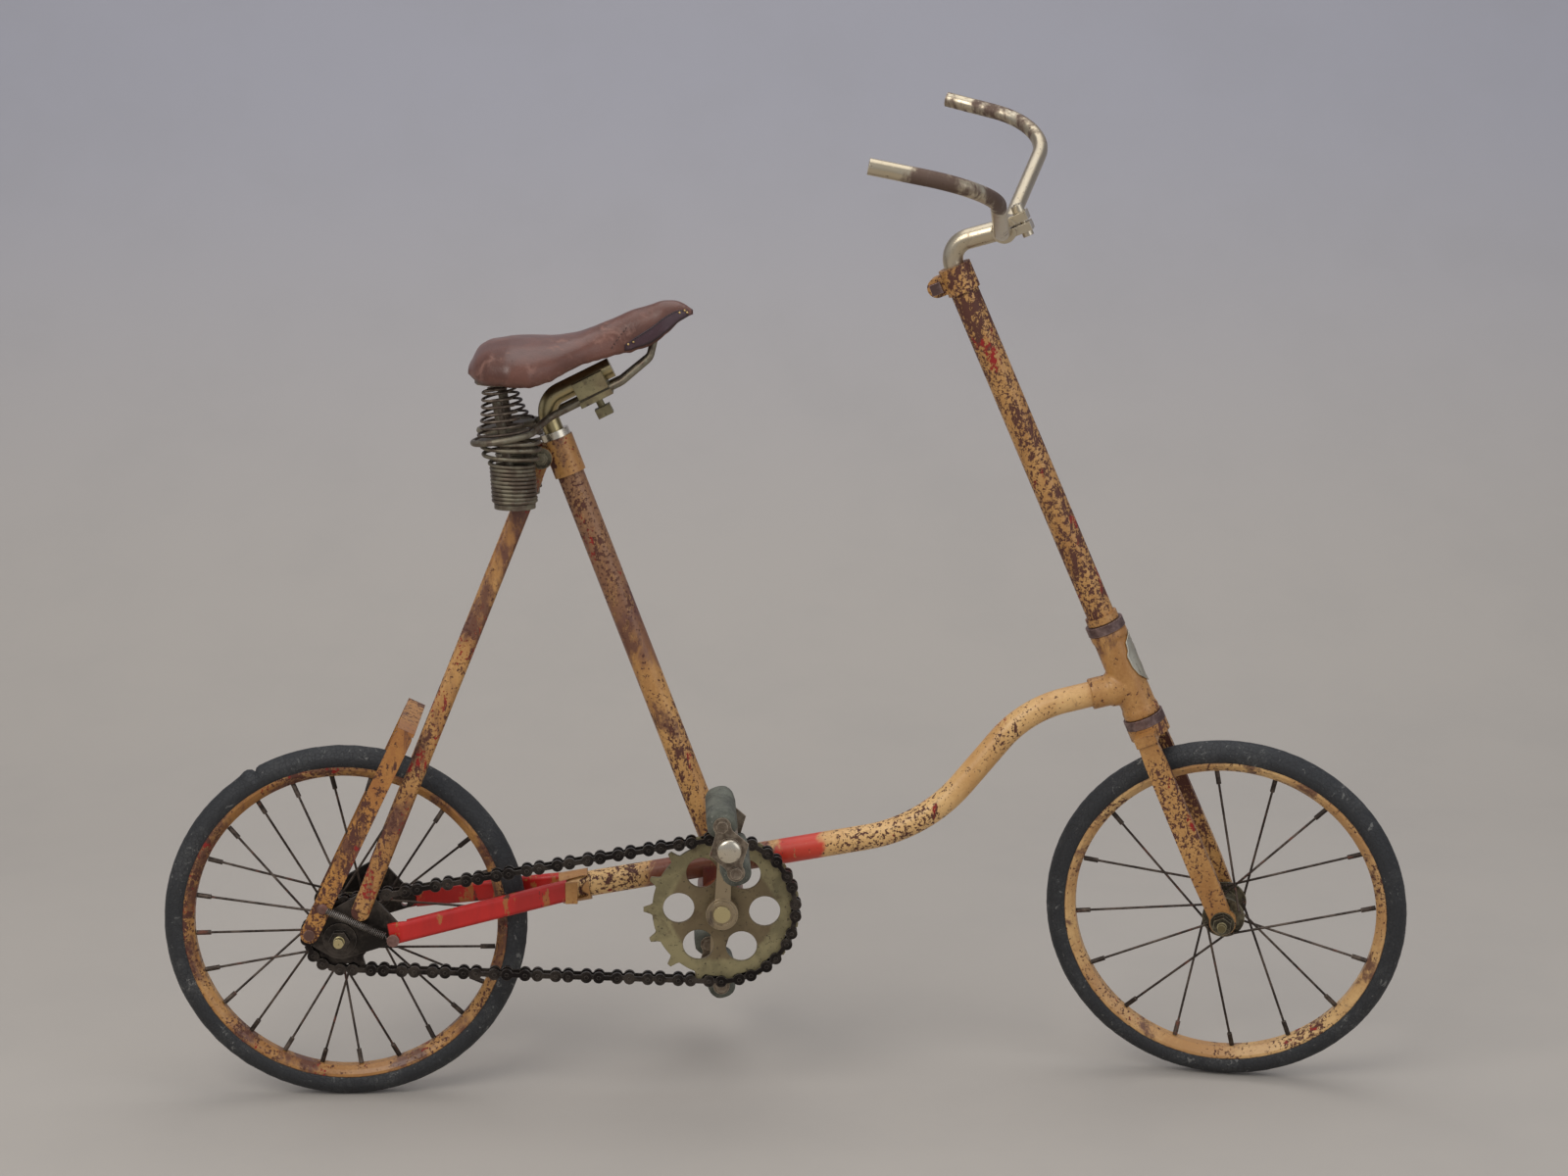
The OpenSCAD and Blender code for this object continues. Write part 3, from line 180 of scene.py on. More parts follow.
class Finish:
    """A material made of nodes, with object coordinates as its place."""

    def __init__(self, name):
        self.material = bpy.data.materials.new(name)
        self.material.use_nodes = True
        self.tree = self.material.node_tree
        self.tree.nodes.clear()
        self.place = self.add("ShaderNodeTexCoord", output="Object")

    def add(self, kind, settings=None, inputs=None, output=0):
        node = self.tree.nodes.new(kind)
        for key, value in (settings or {}).items():
            if key == "stops":
                ramp = node.color_ramp.elements
                for place, shade in value[2:]:
                    ramp.new(place)
                for element, (place, shade) in zip(ramp, value):
                    element.position, element.color = place, (*shade, 1)
            else:
                setattr(node, key, value)
        for key, value in (inputs or {}).items():
            if isinstance(value, Sock):
                self.tree.links.new(value.socket, node.inputs[key])
            else:
                node.inputs[key].default_value = value
        return Sock(self, node.outputs[output]) if node.outputs else node

    def math(self, operation, *terms):
        return self.add("ShaderNodeMath", {"operation": operation}, dict(enumerate(terms)))

    def noise(self, scale, detail=4.0, rough=0.55, warp=0.0, place=None):
        """Fractal noise, 0 to 1; scale is features per metre."""
        inputs = {"Vector": place or self.place, "Scale": scale, "Detail": detail,
                  "Roughness": rough, "Distortion": warp}
        return self.add("ShaderNodeTexNoise", {}, inputs, "Fac")

    def turned(self, direction, stretch=1.0, across=1.0):
        """Coordinates whose Z runs along a direction, squeezed so that marks are stretched along it."""
        angles = Vector(direction).rotation_difference(Vector((0, 0, 1))).to_euler()
        return self.add("ShaderNodeMapping", {}, {"Vector": self.place, "Rotation": tuple(angles),
                                                  "Scale": (across, across, 1 / stretch)})

    def part(self, axis, place=None):
        return self.add("ShaderNodeSeparateXYZ", {}, {0: place or self.place}, axis)

    def step(self, value, low, high):
        """0 below low, 1 above high, smooth between."""
        return self.add("ShaderNodeMapRange", {"interpolation_type": "SMOOTHSTEP"},
                        {"Value": value, "From Min": low, "From Max": high})

    def mix(self, mask, first, second):
        shade = [value if isinstance(value, Sock) else (*value[:3], 1) for value in (first, second)]
        return self.add("ShaderNodeMix", {"data_type": "RGBA"}, {0: mask, 6: shade[0], 7: shade[1]}, 2)

    def edges(self, width, low=0.02, high=0.25):
        """1 along sharp edges, 0 on flats."""
        soft = self.add("ShaderNodeBevel", {"samples": 6}, {"Radius": width})
        flat = self.add("ShaderNodeNewGeometry", output="Normal")
        along = self.add("ShaderNodeVectorMath", {"operation": "DOT_PRODUCT"}, {0: soft, 1: flat}, "Value")
        return self.step(1 - along, low, high)

    def surface(self, shade, roughness, metallic=0.0, height=None, depth=0.3 * MM, bevel=0.5 * MM, **fixed):
        """Ends the material in a Principled shader and returns the material."""
        inputs = {"Base Color": shade if isinstance(shade, Sock) else (*shade, 1),
                  "Roughness": roughness, "Metallic": metallic}
        inputs.update({name.replace("_", " "): value for name, value in fixed.items()})
        normal = self.add("ShaderNodeBevel", {"samples": 4}, {"Radius": bevel}) if bevel else None
        if height is not None:
            bump = {"Height": height, "Distance": depth, "Strength": 1.0}
            if normal:
                bump["Normal"] = normal
            normal = self.add("ShaderNodeBump", {}, bump)
        if normal:
            inputs["Normal"] = normal
        shader = self.add("ShaderNodeBsdfPrincipled", {}, inputs)
        self.add("ShaderNodeOutputMaterial", {}, {"Surface": shader})
        return self.material


def enamel(name, along, chips=0.5, red=0.3, plum=0.3, stretch=2.5, paint=None, patches=()):
    """Old gold enamel: clouds of brown, chips down to red under-coat and rust.

    Each patch is (centre in mm, radius in mm, colour, share) of another colour on the paint.
    """
    c = shades()
    f = Finish(name)
    place = f.turned(along, stretch)
    cloud = f.noise(14, 4, 0.6, place=place)
    fine = f.noise(420, 3, 0.6)
    light, dark = paint or (c.gold, c.ochre)
    tone = f.mix(f.step(cloud + 0.25 * (fine - 0.5), 0.36, 0.66), dark, light)
    worn = f.noise(22, 7, 0.66, 0.4, place)
    brown = f.step(worn + 0.10 * (fine - 0.5), 0.66 - 0.22 * plum, 0.72 - 0.16 * plum)
    tone = f.mix(brown * 0.85, tone, c.plum)
    for centre, radius, shade, share in patches:
        apart = f.add("ShaderNodeVectorMath", {"operation": "DISTANCE"}, {0: f.place, 1: world(centre)}, "Value")
        reach = apart * (1 / MM / radius) + 1.5 * (cloud - 0.5) + 2.2 * (worn - 0.5)
        tone = f.mix((1 - f.step(reach, 0.72, 0.98)) * share, tone, shade)
    blots = f.noise(130, 7, 0.72, 0.3, place)
    where = f.noise(15, 3, 0.5, place=place)
    level = 0.70 - 0.13 * chips
    field = blots + 0.42 * (where - 0.5)
    chip = f.step(field, level, level + 0.018)
    rim = f.step(field, level - 0.03, level) - chip
    pepper = f.step(f.noise(340, 4, 0.7) + 0.5 * (where - 0.5), level - 0.02, level + 0.01)
    chip = f.math("MAXIMUM", chip, pepper)
    tone = f.mix(rim * 0.6, tone, tuple(1.15 * v for v in light))
    primed = f.step(f.noise(45, 4, 0.6, place=place), 0.66 - 0.2 * red, 0.72 - 0.2 * red)
    bare = f.mix(primed, c.rust, tuple(0.55 * v for v in c.red))
    worn_edge = f.edges(1.2 * MM, 0.03, 0.3) * f.step(f.noise(90, 4), 0.40, 0.62)
    shade = f.mix(chip, tone, bare)
    shade = f.mix(worn_edge * 0.8, shade, c.rust)
    grime = f.noise(700, 2)
    roughness = 0.34 + 0.16 * cloud + 0.32 * chip
    height = (1 - chip) + 0.12 * cloud + 0.05 * grime
    return f.surface(shade, roughness, 0.0, height, 0.22 * MM, 0.5 * MM, Coat_Weight=0.12, Coat_Roughness=0.3)


def red_enamel(name, along):
    """Bright red enamel with ochre and dark chips."""
    c = shades()
    f = Finish(name)
    place = f.turned(along, 3.0)
    cloud = f.noise(30, 4, 0.6, place=place)
    tone = f.mix(f.step(cloud, 0.35, 0.62), (0.42, 0.012, 0.008), c.red)
    blots = f.noise(70, 6, 0.68, 0.4, place) + 0.3 * (f.noise(20, 3, place=place) - 0.5)
    ochre = f.step(blots, 0.57, 0.59)
    dark = f.step(f.noise(60, 6, 0.7, 0.2, place), 0.60, 0.63)
    shade = f.mix(ochre, tone, (0.42, 0.13, 0.03))
    shade = f.mix(dark, shade, c.rust)
    shade = f.mix(f.edges(1.4 * MM, 0.02, 0.25) * 0.8, shade, c.plum)
    return f.surface(shade, 0.42 + 0.3 * dark, 0.0, (1 - dark) - 0.4 * ochre, 0.25 * MM, 0.5 * MM, Coat_Weight=0.1)


def plating(name, along=(0, 0, 1), tarnish=0.4, shade=None, stain=(0.085, 0.040, 0.032), rough=0.24):
    """Nickel or brass plating with brown tarnish."""
    c = shades()
    f = Finish(name)
    place = f.turned(along, 2.5)
    cloud = f.noise(18, 5, 0.6, 0.5, place)
    spots = f.noise(120, 5, 0.65, place=place)
    base = shade or c.nickel
    level = 0.68 - 0.22 * tarnish
    stained = f.step(cloud + 0.25 * (spots - 0.5), level, level + 0.10)
    warm = f.mix(f.noise(30, 4, place=place), base, tuple(v * k for v, k in zip(base, (0.92, 0.80, 0.60))))
    tone = f.mix(stained * 0.88, warm, stain)
    pits = f.step(f.noise(380, 3, 0.6), 0.64, 0.70)
    tone = f.mix(pits * 0.6, tone, stain)
    bright = f.edges(0.9 * MM, 0.02, 0.25)
    tone = f.mix(bright * 0.5, tone, tuple(min(1, v * 1.3) for v in base))
    roughness = rough + 0.30 * stained + 0.12 * spots
    return f.surface(tone, roughness, 0.95 - 0.35 * stained, spots - 0.8 * pits, 0.05 * MM, 0.5 * MM)


def steel(name, dark=(0.050, 0.036, 0.028), light=(0.22, 0.17, 0.13), rust=0.4, rough=0.45, metallic=0.8):
    """Oily or rusty bare steel with brighter worn edges."""
    c = shades()
    f = Finish(name)
    cloud = f.noise(40, 5, 0.62)
    fine = f.noise(300, 4, 0.6)
    tone = f.mix(f.step(cloud + 0.4 * (fine - 0.5), 0.40, 0.70), dark, light)
    rusty = f.step(f.noise(75, 6, 0.7, 0.3), 0.70 - 0.28 * rust, 0.78 - 0.28 * rust)
    tone = f.mix(rusty * 0.8, tone, tuple(1.7 * v for v in c.rust))
    tone = f.mix(f.edges(0.8 * MM, 0.02, 0.22) * 0.65, tone, tuple(min(1, 2.4 * v + 0.05) for v in light))
    return f.surface(tone, rough + 0.25 * rusty + 0.15 * fine, metallic - 0.6 * rusty, fine + 0.6 * rusty,
                     0.12 * MM, 0.4 * MM)


def olive_plate(name, middle=(0, 0, 0)):
    """Olive brass paint of the chainring, brown round its middle and dark at its rim."""
    c = shades()
    f = Finish(name)
    cloud = f.noise(45, 5, 0.62, 0.3)
    fine = f.noise(350, 4, 0.6)
    tone = f.mix(f.step(cloud, 0.36, 0.64), tuple(0.62 * v for v in c.brass), c.brass)
    brown = f.step(f.noise(38, 6, 0.68, 0.5), 0.55, 0.66)
    tone = f.mix(brown * 0.6, tone, (0.10, 0.065, 0.035))
    apart = f.add("ShaderNodeVectorMath", {"operation": "DISTANCE"}, {0: f.place, 1: middle}, "Value") * (1 / MM)
    tone = f.mix((1 - f.step(apart + 9 * (cloud - 0.5), 41, 45)) * 0.65, tone, (0.135, 0.085, 0.045))
    tone = f.mix(f.step(apart, 68.0, 71.0) * 0.85, tone, (0.040, 0.030, 0.022))
    pits = f.step(fine, 0.62, 0.66)
    tone = f.mix(pits * 0.7, tone, (0.045, 0.032, 0.020))
    tone = f.mix(f.edges(0.9 * MM, 0.02, 0.25) * 0.7, tone, (0.06, 0.045, 0.03))
    return f.surface(tone, 0.40 + 0.2 * cloud, 0.35, cloud - 0.5 * pits, 0.15 * MM, 0.5 * MM)


def verdigris(name):
    """Copper-green bloom on brown wire."""
    f = Finish(name)
    cloud = f.step(f.noise(60, 5, 0.65, 0.4), 0.40, 0.60)
    fine = f.noise(400, 4, 0.6)
    tone = f.mix(cloud, (0.125, 0.092, 0.066), (0.235, 0.205, 0.145))
    tone = f.mix(f.step(fine, 0.58, 0.68) * 0.4, tone, (0.27, 0.33, 0.25))
    return f.surface(tone, 0.38 + 0.2 * cloud, 0.7, fine, 0.12 * MM, 0.3 * MM)


def tyre_rubber(name):
    """Old tyre rubber: dusty bloom, scuffs and fine cracks round the wheel."""
    c = shades()
    f = Finish(name)
    cloud = f.noise(35, 5, 0.62, 0.3)
    fine = f.noise(420, 5, 0.65)
    cracks = f.add("ShaderNodeTexVoronoi", {"feature": "DISTANCE_TO_EDGE"},
                   {"Vector": f.place, "Scale": 260.0, "Randomness": 1.0}, "Distance")
    crack = 1 - f.step(cracks, 0.01, 0.09)
    dusty = f.step(cloud + 0.5 * (fine - 0.5), 0.46, 0.74)
    tone = f.mix(dusty * 0.6, c.rubber, (0.080, 0.080, 0.078))
    tone = f.mix(crack * 0.5, tone, (0.012, 0.012, 0.013))
    scuff = f.step(f.noise(170, 6, 0.72, 0.6) + 0.35 * (cloud - 0.5), 0.61, 0.67)
    tone = f.mix(scuff * 0.6, tone, (0.24, 0.235, 0.215))
    return f.surface(tone, 0.62 + 0.25 * dusty, 0.0, fine - 0.7 * crack, 0.25 * MM, None)


def pedal_rubber(name):
    """Greenish grey rubber with crumbs worn from its face."""
    c = shades()
    f = Finish(name)
    cloud = f.noise(60, 5, 0.62, 0.2)
    fine = f.noise(500, 5, 0.65)
    tone = f.mix(f.step(cloud, 0.35, 0.68), tuple(0.42 * v for v in c.block), c.block)
    tone = f.mix(f.step(fine, 0.58, 0.70) * 0.6, tone, (0.33, 0.33, 0.27))
    tone = f.mix(f.step(f.noise(130, 5, 0.7), 0.62, 0.68) * 0.7, tone, (0.03, 0.03, 0.028))
    return f.surface(tone, 0.72, 0.0, fine + cloud, 0.5 * MM, 0.5 * MM)


def hide(name, main=None, pale=(0.36, 0.185, 0.135), dark=(0.060, 0.020, 0.016), scuffs=0.5):
    """Polished saddle leather: pores, creases, pale scuffs and dark edges."""
    c = shades()
    main = main or c.leather
    f = Finish(name)
    cloud = f.noise(20, 5, 0.6, 0.6)
    pores = f.add("ShaderNodeTexVoronoi", {"feature": "F1"}, {"Vector": f.place, "Scale": 700.0}, "Distance")
    creases = f.noise(90, 6, 0.7, 1.5, f.turned((1, 0, 0.35), 3.0))
    fine = f.noise(900, 3, 0.6)
    tone = f.mix(f.step(cloud, 0.34, 0.68), tuple(0.62 * v for v in main), main)
    scuffed = f.step(f.noise(48, 6, 0.7, 0.8), 0.66 - 0.16 * scuffs, 0.80 - 0.14 * scuffs)
    tone = f.mix(scuffed * 0.45, tone, pale)
    crease = f.step(creases, 0.60, 0.72)
    tone = f.mix(crease * 0.4, tone, dark)
    tone = f.mix(f.edges(2.4 * MM, 0.02, 0.2) * 0.85, tone, dark)
    height = 0.5 * pores + 0.5 * fine - 0.8 * crease
    return f.surface(tone, 0.36 + 0.22 * scuffed + 0.16 * crease, 0.0, height, 0.22 * MM, 0.4 * MM,
                     Coat_Weight=0.15, Coat_Roughness=0.28)


def plain_stage(name, floor, wall, scale):
    """Matt warm floor that turns into a cooler wall, with faint mottling."""
    f = Finish(name)
    tone = f.mix(f.step(f.part("Z"), 0.02, 0.9), floor, wall)
    tone = f.mix(f.step(f.noise(scale, 6, 0.6), 0.40, 0.75) * 0.10, tone, (0.30, 0.29, 0.28))
    return f.surface(tone, 0.85, 0.0, bevel=None)


# ---------------------------------------------------------------- meshes


def world(point):
    """A point in millimetres from the rear hub, in the shared frame's metres."""
    return HUB + Vector(point) * MM


def piece(name, vertices, faces, material, body, replaces=(), smooth=True, shift=True):
    """Makes a mesh object from millimetres about the rear hub, and ties it to its body."""
    mesh = bpy.data.meshes.new(name)
    points = [world(v) for v in vertices] if shift else vertices
    mesh.from_pydata([tuple(v) for v in points], [], faces)
    mesh.validate()
    mesh.update()
    obj = bpy.data.objects.new(name, mesh)
    bpy.context.scene.collection.objects.link(obj)
    mesh.materials.append(material)
    if smooth:
        mesh.polygons.foreach_set("use_smooth", [True] * len(mesh.polygons))
    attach(obj, body)
    if replaces:
        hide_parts(*replaces)
    return obj


def join(parts):
    """Several (vertices, faces) lists as one."""
    vertices, faces = [], []
    for points, polygons in parts:
        start = len(vertices)
        vertices += list(points)
        faces += [tuple(start + i for i in polygon) for polygon in polygons]
    return vertices, faces


def wire(path, radius, sides=10, taper=0):
    """Round wire along a path of points, closed at both ends."""
    path = [Vector(p) for p in path]
    last = len(path) - 1
    tangent = (path[1] - path[0]).normalized()
    normal = tangent.orthogonal().normalized()
    vertices, faces = [], []
    for i, point in enumerate(path):
        ahead = (path[min(i + 1, last)] - path[max(i - 1, 0)]).normalized()
        normal = (normal - ahead * normal.dot(ahead)).normalized()
        side = ahead.cross(normal)
        r = radius * (0.55 if taper and i in (0, last) else 1)
        for k in range(sides):
            a = 2 * math.pi * k / sides
            vertices.append(point + r * (math.cos(a) * normal + math.sin(a) * side))
    for i in range(last):
        for k in range(sides):
            a, b = i * sides + k, i * sides + (k + 1) % sides
            faces.append((a, b, b + sides, a + sides))
    faces.append(tuple(reversed(range(sides))))
    faces.append(tuple(last * sides + k for k in range(sides)))
    return vertices, faces


def sheet(grid, thick, inward):
    """A skin from a grid of points, with thickness along the inward directions."""
    rows, columns = len(grid), len(grid[0])
    outer = [Vector(p) for row in grid for p in row]
    inner = [Vector(p) + Vector(d) * thick for row, dirs in zip(grid, inward) for p, d in zip(row, dirs)]
    n = rows * columns
    faces = []
    for i in range(rows - 1):
        for j in range(columns - 1):
            a, b = i * columns + j, i * columns + j + 1
            c, d = b + columns, a + columns
            faces += [(a, b, c, d), (n + d, n + c, n + b, n + a)]
    border = [(0, j) for j in range(columns)] + [(i, columns - 1) for i in range(1, rows)]
    border += [(rows - 1, j) for j in range(columns - 2, -1, -1)] + [(i, 0) for i in range(rows - 2, 0, -1)]
    loop = [i * columns + j for i, j in border]
    for a, b in zip(loop, loop[1:] + loop[:1]):
        faces.append((b, a, n + a, n + b))
    return outer + inner, faces


def lathe(profile, centre, axis, start, steps, shape=None):
    """A closed outline of (radius, offset along the axis), turned about an axis."""
    axis, start = Vector(axis).normalized(), Vector(start)
    start = (start - axis * start.dot(axis)).normalized()
    side = axis.cross(start)
    vertices, faces = [], []
    count = len(profile)
    for i in range(steps):
        a = 2 * math.pi * i / steps
        out = math.cos(a) * start + math.sin(a) * side
        for r, z in profile:
            if shape:
                r, z = shape(a, r, z)
            vertices.append(Vector(centre) + out * r + axis * z)
    for i in range(steps):
        k = (i + 1) % steps
        for j in range(count):
            m = (j + 1) % count
            faces.append((i * count + j, k * count + j, k * count + m, i * count + m))
    return vertices, faces


def dome(centre, axis, radius, height, rings=4, sides=16):
    """A rivet or cap: a low dome on a short wall."""
    axis = Vector(axis).normalized()
    side = axis.orthogonal().normalized()
    other = axis.cross(side)
    vertices, faces = [], []
    levels = [(1.0, -0.3)] + [(math.cos(t), math.sin(t)) for t in
                              (math.pi / 2 * i / rings for i in range(rings))]
    for reach, rise in levels:
        for k in range(sides):
            a = 2 * math.pi * k / sides
            vertices.append(Vector(centre) + radius * reach * (math.cos(a) * side + math.sin(a) * other)
                            + axis * height * rise)
    vertices.append(Vector(centre) + axis * height)
    top = len(vertices) - 1
    for i in range(len(levels) - 1):
        for k in range(sides):
            a, b = i * sides + k, i * sides + (k + 1) % sides
            faces.append((a, b, b + sides, a + sides))
    low = (len(levels) - 1) * sides
    faces += [(low + k, low + (k + 1) % sides, top) for k in range(sides)]
    faces.append(tuple(reversed(range(sides))))
    return vertices, faces


def dress(material, *nodes):
    """Gives CAD nodes a material."""
    for name in nodes:
        slots = NODES[name].data.materials
        for i in range(len(slots)):
            slots[i] = material


# ---------------------------------------------------------------- operators


class BIKE_OT_stage(bpy.types.Operator):
    """Floor, soft studio light and the camera"""

    bl_idname = "bike.stage"
    bl_label = "Stage"

    def execute(self, context):
        wide, near, far, rise, bend = 6.0, -4.0, 2.2, 4.0, 1.4
        outline = [(near, 0.0), (far - bend, 0.0)]
        outline += [(far - bend + bend * math.sin(a), bend - bend * math.cos(a))
                    for a in (math.pi / 2 * i / 24 for i in range(1, 25))]
        outline.append((far, rise))
        floor = CAD_BOX[0][2]
        points = [(x, y, floor + z) for y, z in outline for x in (-wide, wide)]
        faces = [(2 * i, 2 * i + 1, 2 * i + 3, 2 * i + 2) for i in range(len(outline) - 1)]
        mesh = bpy.data.meshes.new("floor")
        mesh.from_pydata(points, [], faces)
        mesh.polygons.foreach_set("use_smooth", [True] * len(faces))
        mesh.materials.append(plain_stage("pale_floor", (0.475, 0.435, 0.385), (0.405, 0.400, 0.440), 5.0))
        obj = bpy.data.objects.new("floor", mesh)
        context.scene.collection.objects.link(obj)

        for name, where, aim, size, power, tint in (
            ("key", (-1.6, -2.2, 2.6), (0, 0, 0.4), 2.0, 50, (1.0, 0.97, 0.93)),
            ("fill", (2.4, -2.4, 1.6), (0, 0, 0.4), 2.4, 20, (0.93, 0.96, 1.0)),
            ("top", (0.2, 0.4, 2.8), (0, 0, 0.3), 2.6, 26, (1.0, 1.0, 1.0)),
        ):
            lamp = bpy.data.lights.new(name, "AREA")
            lamp.size, lamp.energy, lamp.color = size, power, tint
            light = bpy.data.objects.new(name, lamp)
            light.location = where
            light.rotation_euler = (Vector(aim) - Vector(where)).to_track_quat("-Z", "Y").to_euler()
            context.scene.collection.objects.link(light)

        sky = bpy.data.worlds.new("studio")
        sky.use_nodes = True
        sky.node_tree.nodes["Background"].inputs["Color"].default_value = (0.86, 0.89, 0.98, 1)
        sky.node_tree.nodes["Background"].inputs["Strength"].default_value = 0.42
        context.scene.world = sky
        context.scene.view_settings.view_transform = "Standard"

        lens = bpy.data.cameras.new("camera")
        lens.lens, lens.sensor_width = LENS, SENSOR
        camera = bpy.data.objects.new("camera", lens)
        camera.location = world(CAMERA_PLACE)
        camera.rotation_euler = [math.radians(a) for a in CAMERA_TURN]
        context.scene.collection.objects.link(camera)
        context.scene.camera = camera
        return {"FINISHED"}


class BIKE_OT_paint(bpy.types.Operator):
    """Enamel on the frame, fork, riser and stand"""

    bl_idname = "bike.paint"
    bl_label = "Enamel"

    def execute(self, context):
        seat = Vector(JOINTS["seat_height"]["axis"])
        maroon, scarlet, plum = (0.155, 0.020, 0.016), (0.60, 0.030, 0.014), (0.105, 0.040, 0.045)
        low = [((310, 0, 42), 62, maroon, 0.85), ((377, 0, 57), 26, scarlet, 0.95)]
        bright_gold = ((0.76, 0.47, 0.19), (0.58, 0.31, 0.105))
        tan = ((0.52, 0.24, 0.055), (0.35, 0.13, 0.032))
        dress(enamel("main_tube_enamel", (0.9, 0, 0.35), 0.66, 0.45, 0.22, paint=bright_gold, patches=low),
              "main_tube")
        dress(enamel("lug_enamel", STEERING, 0.45, 0.5, 0.45), "seat_lug")
        dress(enamel("riser_enamel", STEERING, 1.15, 0.3, 0.12), "riser_tube", "riser_clamp")
        dress(enamel("fork_enamel", STEERING, 0.95, 0.2, 0.35), "fork_crown", "fork_blades")
        upper = [((205, 0, 335), 140, plum, 0.60)]
        dress(enamel("seat_tube_enamel", seat, 0.75, 0.25, 0.50, patches=upper), "seat_tube")
        dress(enamel("stay_enamel", (0.5, 0, 0.87), 0.95, 0.8, 0.85), "seat_stay_right", "seat_stay_left")
        dress(enamel("stand_enamel", (0.44, 0, 0.9), 0.80, 0.2, 0.50, paint=tan), "stand")
        dress(enamel("shell_enamel", (0, 1, 0), 0.50, 0.8, 0.6, patches=low), "bottom_bracket", "rear_yoke")
        dress(red_enamel("chain_stay_enamel", (1, 0, 0.16)), "chain_stays")
        return {"FINISHED"}


class BIKE_OT_metal(bpy.types.Operator):
    """Plated, bare and rusty metal"""

    bl_idname = "bike.metal"
    bl_label = "Metal"

    def execute(self, context):
        dress(plating("bar_plating", (0, 1, 0), 0.75), "handlebar")
        dress(plating("stem_plating", STEERING, 0.35), "stem", "stem_bolt")
        dress(plating("post_plating", (0, 0, 1), 0.35, (0.44, 0.38, 0.22), (0.07, 0.055, 0.025)), "seat_post")
        dress(plating("collar_plating", (0, 0, 1), 0.1, (0.72, 0.69, 0.62), rough=0.2), "seat_collar")
        dress(plating("crank_plating", (0, 0, 1), 0.80, (0.40, 0.34, 0.25), (0.060, 0.038, 0.030), rough=0.3),
              "crank_right", "crank_left", "pedal_spindles")
        dress(plating("brass_fittings", (0, 1, 0), 0.35, (0.62, 0.56, 0.34), (0.10, 0.075, 0.03)), "rear_axle",
              "crank_axle", "front_axle")
        dress(steel("headset_steel", (0.105, 0.062, 0.056), (0.27, 0.185, 0.165), 0.35, metallic=0.6),
              "headset_cups", "riser_bolt")
        dress(steel("oily_steel", (0.022, 0.018, 0.015), (0.085, 0.070, 0.058), 0.2, 0.36), "dropout_right",
              "dropout_left", "rear_axle_nuts", "rear_cones")
        dress(steel("chain_steel", (0.016, 0.013, 0.012), (0.075, 0.062, 0.052), 0.15, 0.30, 0.85),
              "chain_plates", "chain_rollers", "rear_sprocket")
        dress(steel("hub_steel", (0.055, 0.047, 0.033), (0.24, 0.21, 0.14), 0.3, 0.4), "front_hub", "rear_hub",
              "front_cones", "front_axle_nuts", "crank_bearings", "seat_bolt")
        dress(steel("rusty_bolts", (0.12, 0.060, 0.045), (0.25, 0.135, 0.11), 0.6, 0.55, 0.4), "stand_bolts")
        dress(steel("spoke_steel", (0.040, 0.030, 0.024), (0.15, 0.115, 0.09), 0.45, 0.45, 0.7), "front_spokes",
              "rear_spokes")
        dress(steel("cage_steel", (0.115, 0.085, 0.06), (0.33, 0.27, 0.20), 0.35, 0.4, 0.75),
              "pedal_cage_right", "pedal_cage_left", "saddle_plates")
        dress(enamel("rear_rim_enamel", (0, 1, 0), 0.85, 0.5, 1.0, 1.0), "rear_rim")
        light_rim = ((0.70, 0.44, 0.18), (0.48, 0.25, 0.09))
        dress(enamel("front_rim_enamel", (0, 1, 0), 0.70, 0.35, 0.55, 1.0, paint=light_rim), "front_rim")
        dress(olive_plate("chainring_brass", world((310.5, -38, 17.5))), "chainring")
        dress(olive_plate("clamp_brass", world((225, -60, 450))), "saddle_clamp")
        dress(verdigris("green_wire"), "saddle_rails")
        return {"FINISHED"}


# Radius of a tyre's section, and of the circle that its middle runs on
TYRE_R = 10.8
TYRE_CENTRE_R = 139.2


class BIKE_OT_tyres(bpy.types.Operator):
    """Solid rubber tyres with a worn tread and one torn place"""

    bl_idname = "bike.tyres"
    bl_label = "Tyres"

    def execute(self, context):
        rubber = tyre_rubber("tyre_rubber")
        profile = []
        for k in range(36):
            b = 2 * math.pi * k / 36
            r = TYRE_R - 0.05
            if abs(math.degrees(math.acos(math.cos(b))) - 62) < 6:
                r -= 0.45
            profile.append((TYRE_CENTRE_R + r * math.cos(b), r * math.sin(b)))
        for name, centre, axis, seed, tear in (
            ("rear", HUB, (0, 1, 0), 3, True),
            ("front", FRONT_HUB, FRONT_AXLE, 8, False),
        ):
            def worn(a, r, z):
                """Uneven wear, and a torn lip on the rear tyre's upper rear."""
                if r > TYRE_CENTRE_R - 4:
                    spot = Vector((r * math.cos(a), r * math.sin(a), z + 50 * seed))
                    r -= 0.28 + 0.28 * noise.noise(spot * 0.16)
                    if tear:
                        gap = math.degrees(a) % 360 - 241 - 0.6 * noise.noise(spot * 0.5)
                        if r > TYRE_CENTRE_R + 2:
                            r += 1.8 * math.exp(-((gap + 2.6) / 1.8) ** 2) - 4.4 * math.exp(-(gap / 0.8) ** 2)
                return r, z

            vertices, faces = lathe([(r * MM, z * MM) for r, z in profile], centre, axis, (1, 0, 0), 360,
                                    lambda a, r, z: tuple(v * MM for v in worn(a, r / MM, z / MM)))
            piece(name + "_tyre_rubber", vertices, faces, rubber, name + "_wheel",
                  [name + "_tyre"], shift=False)
        return {"FINISHED"}


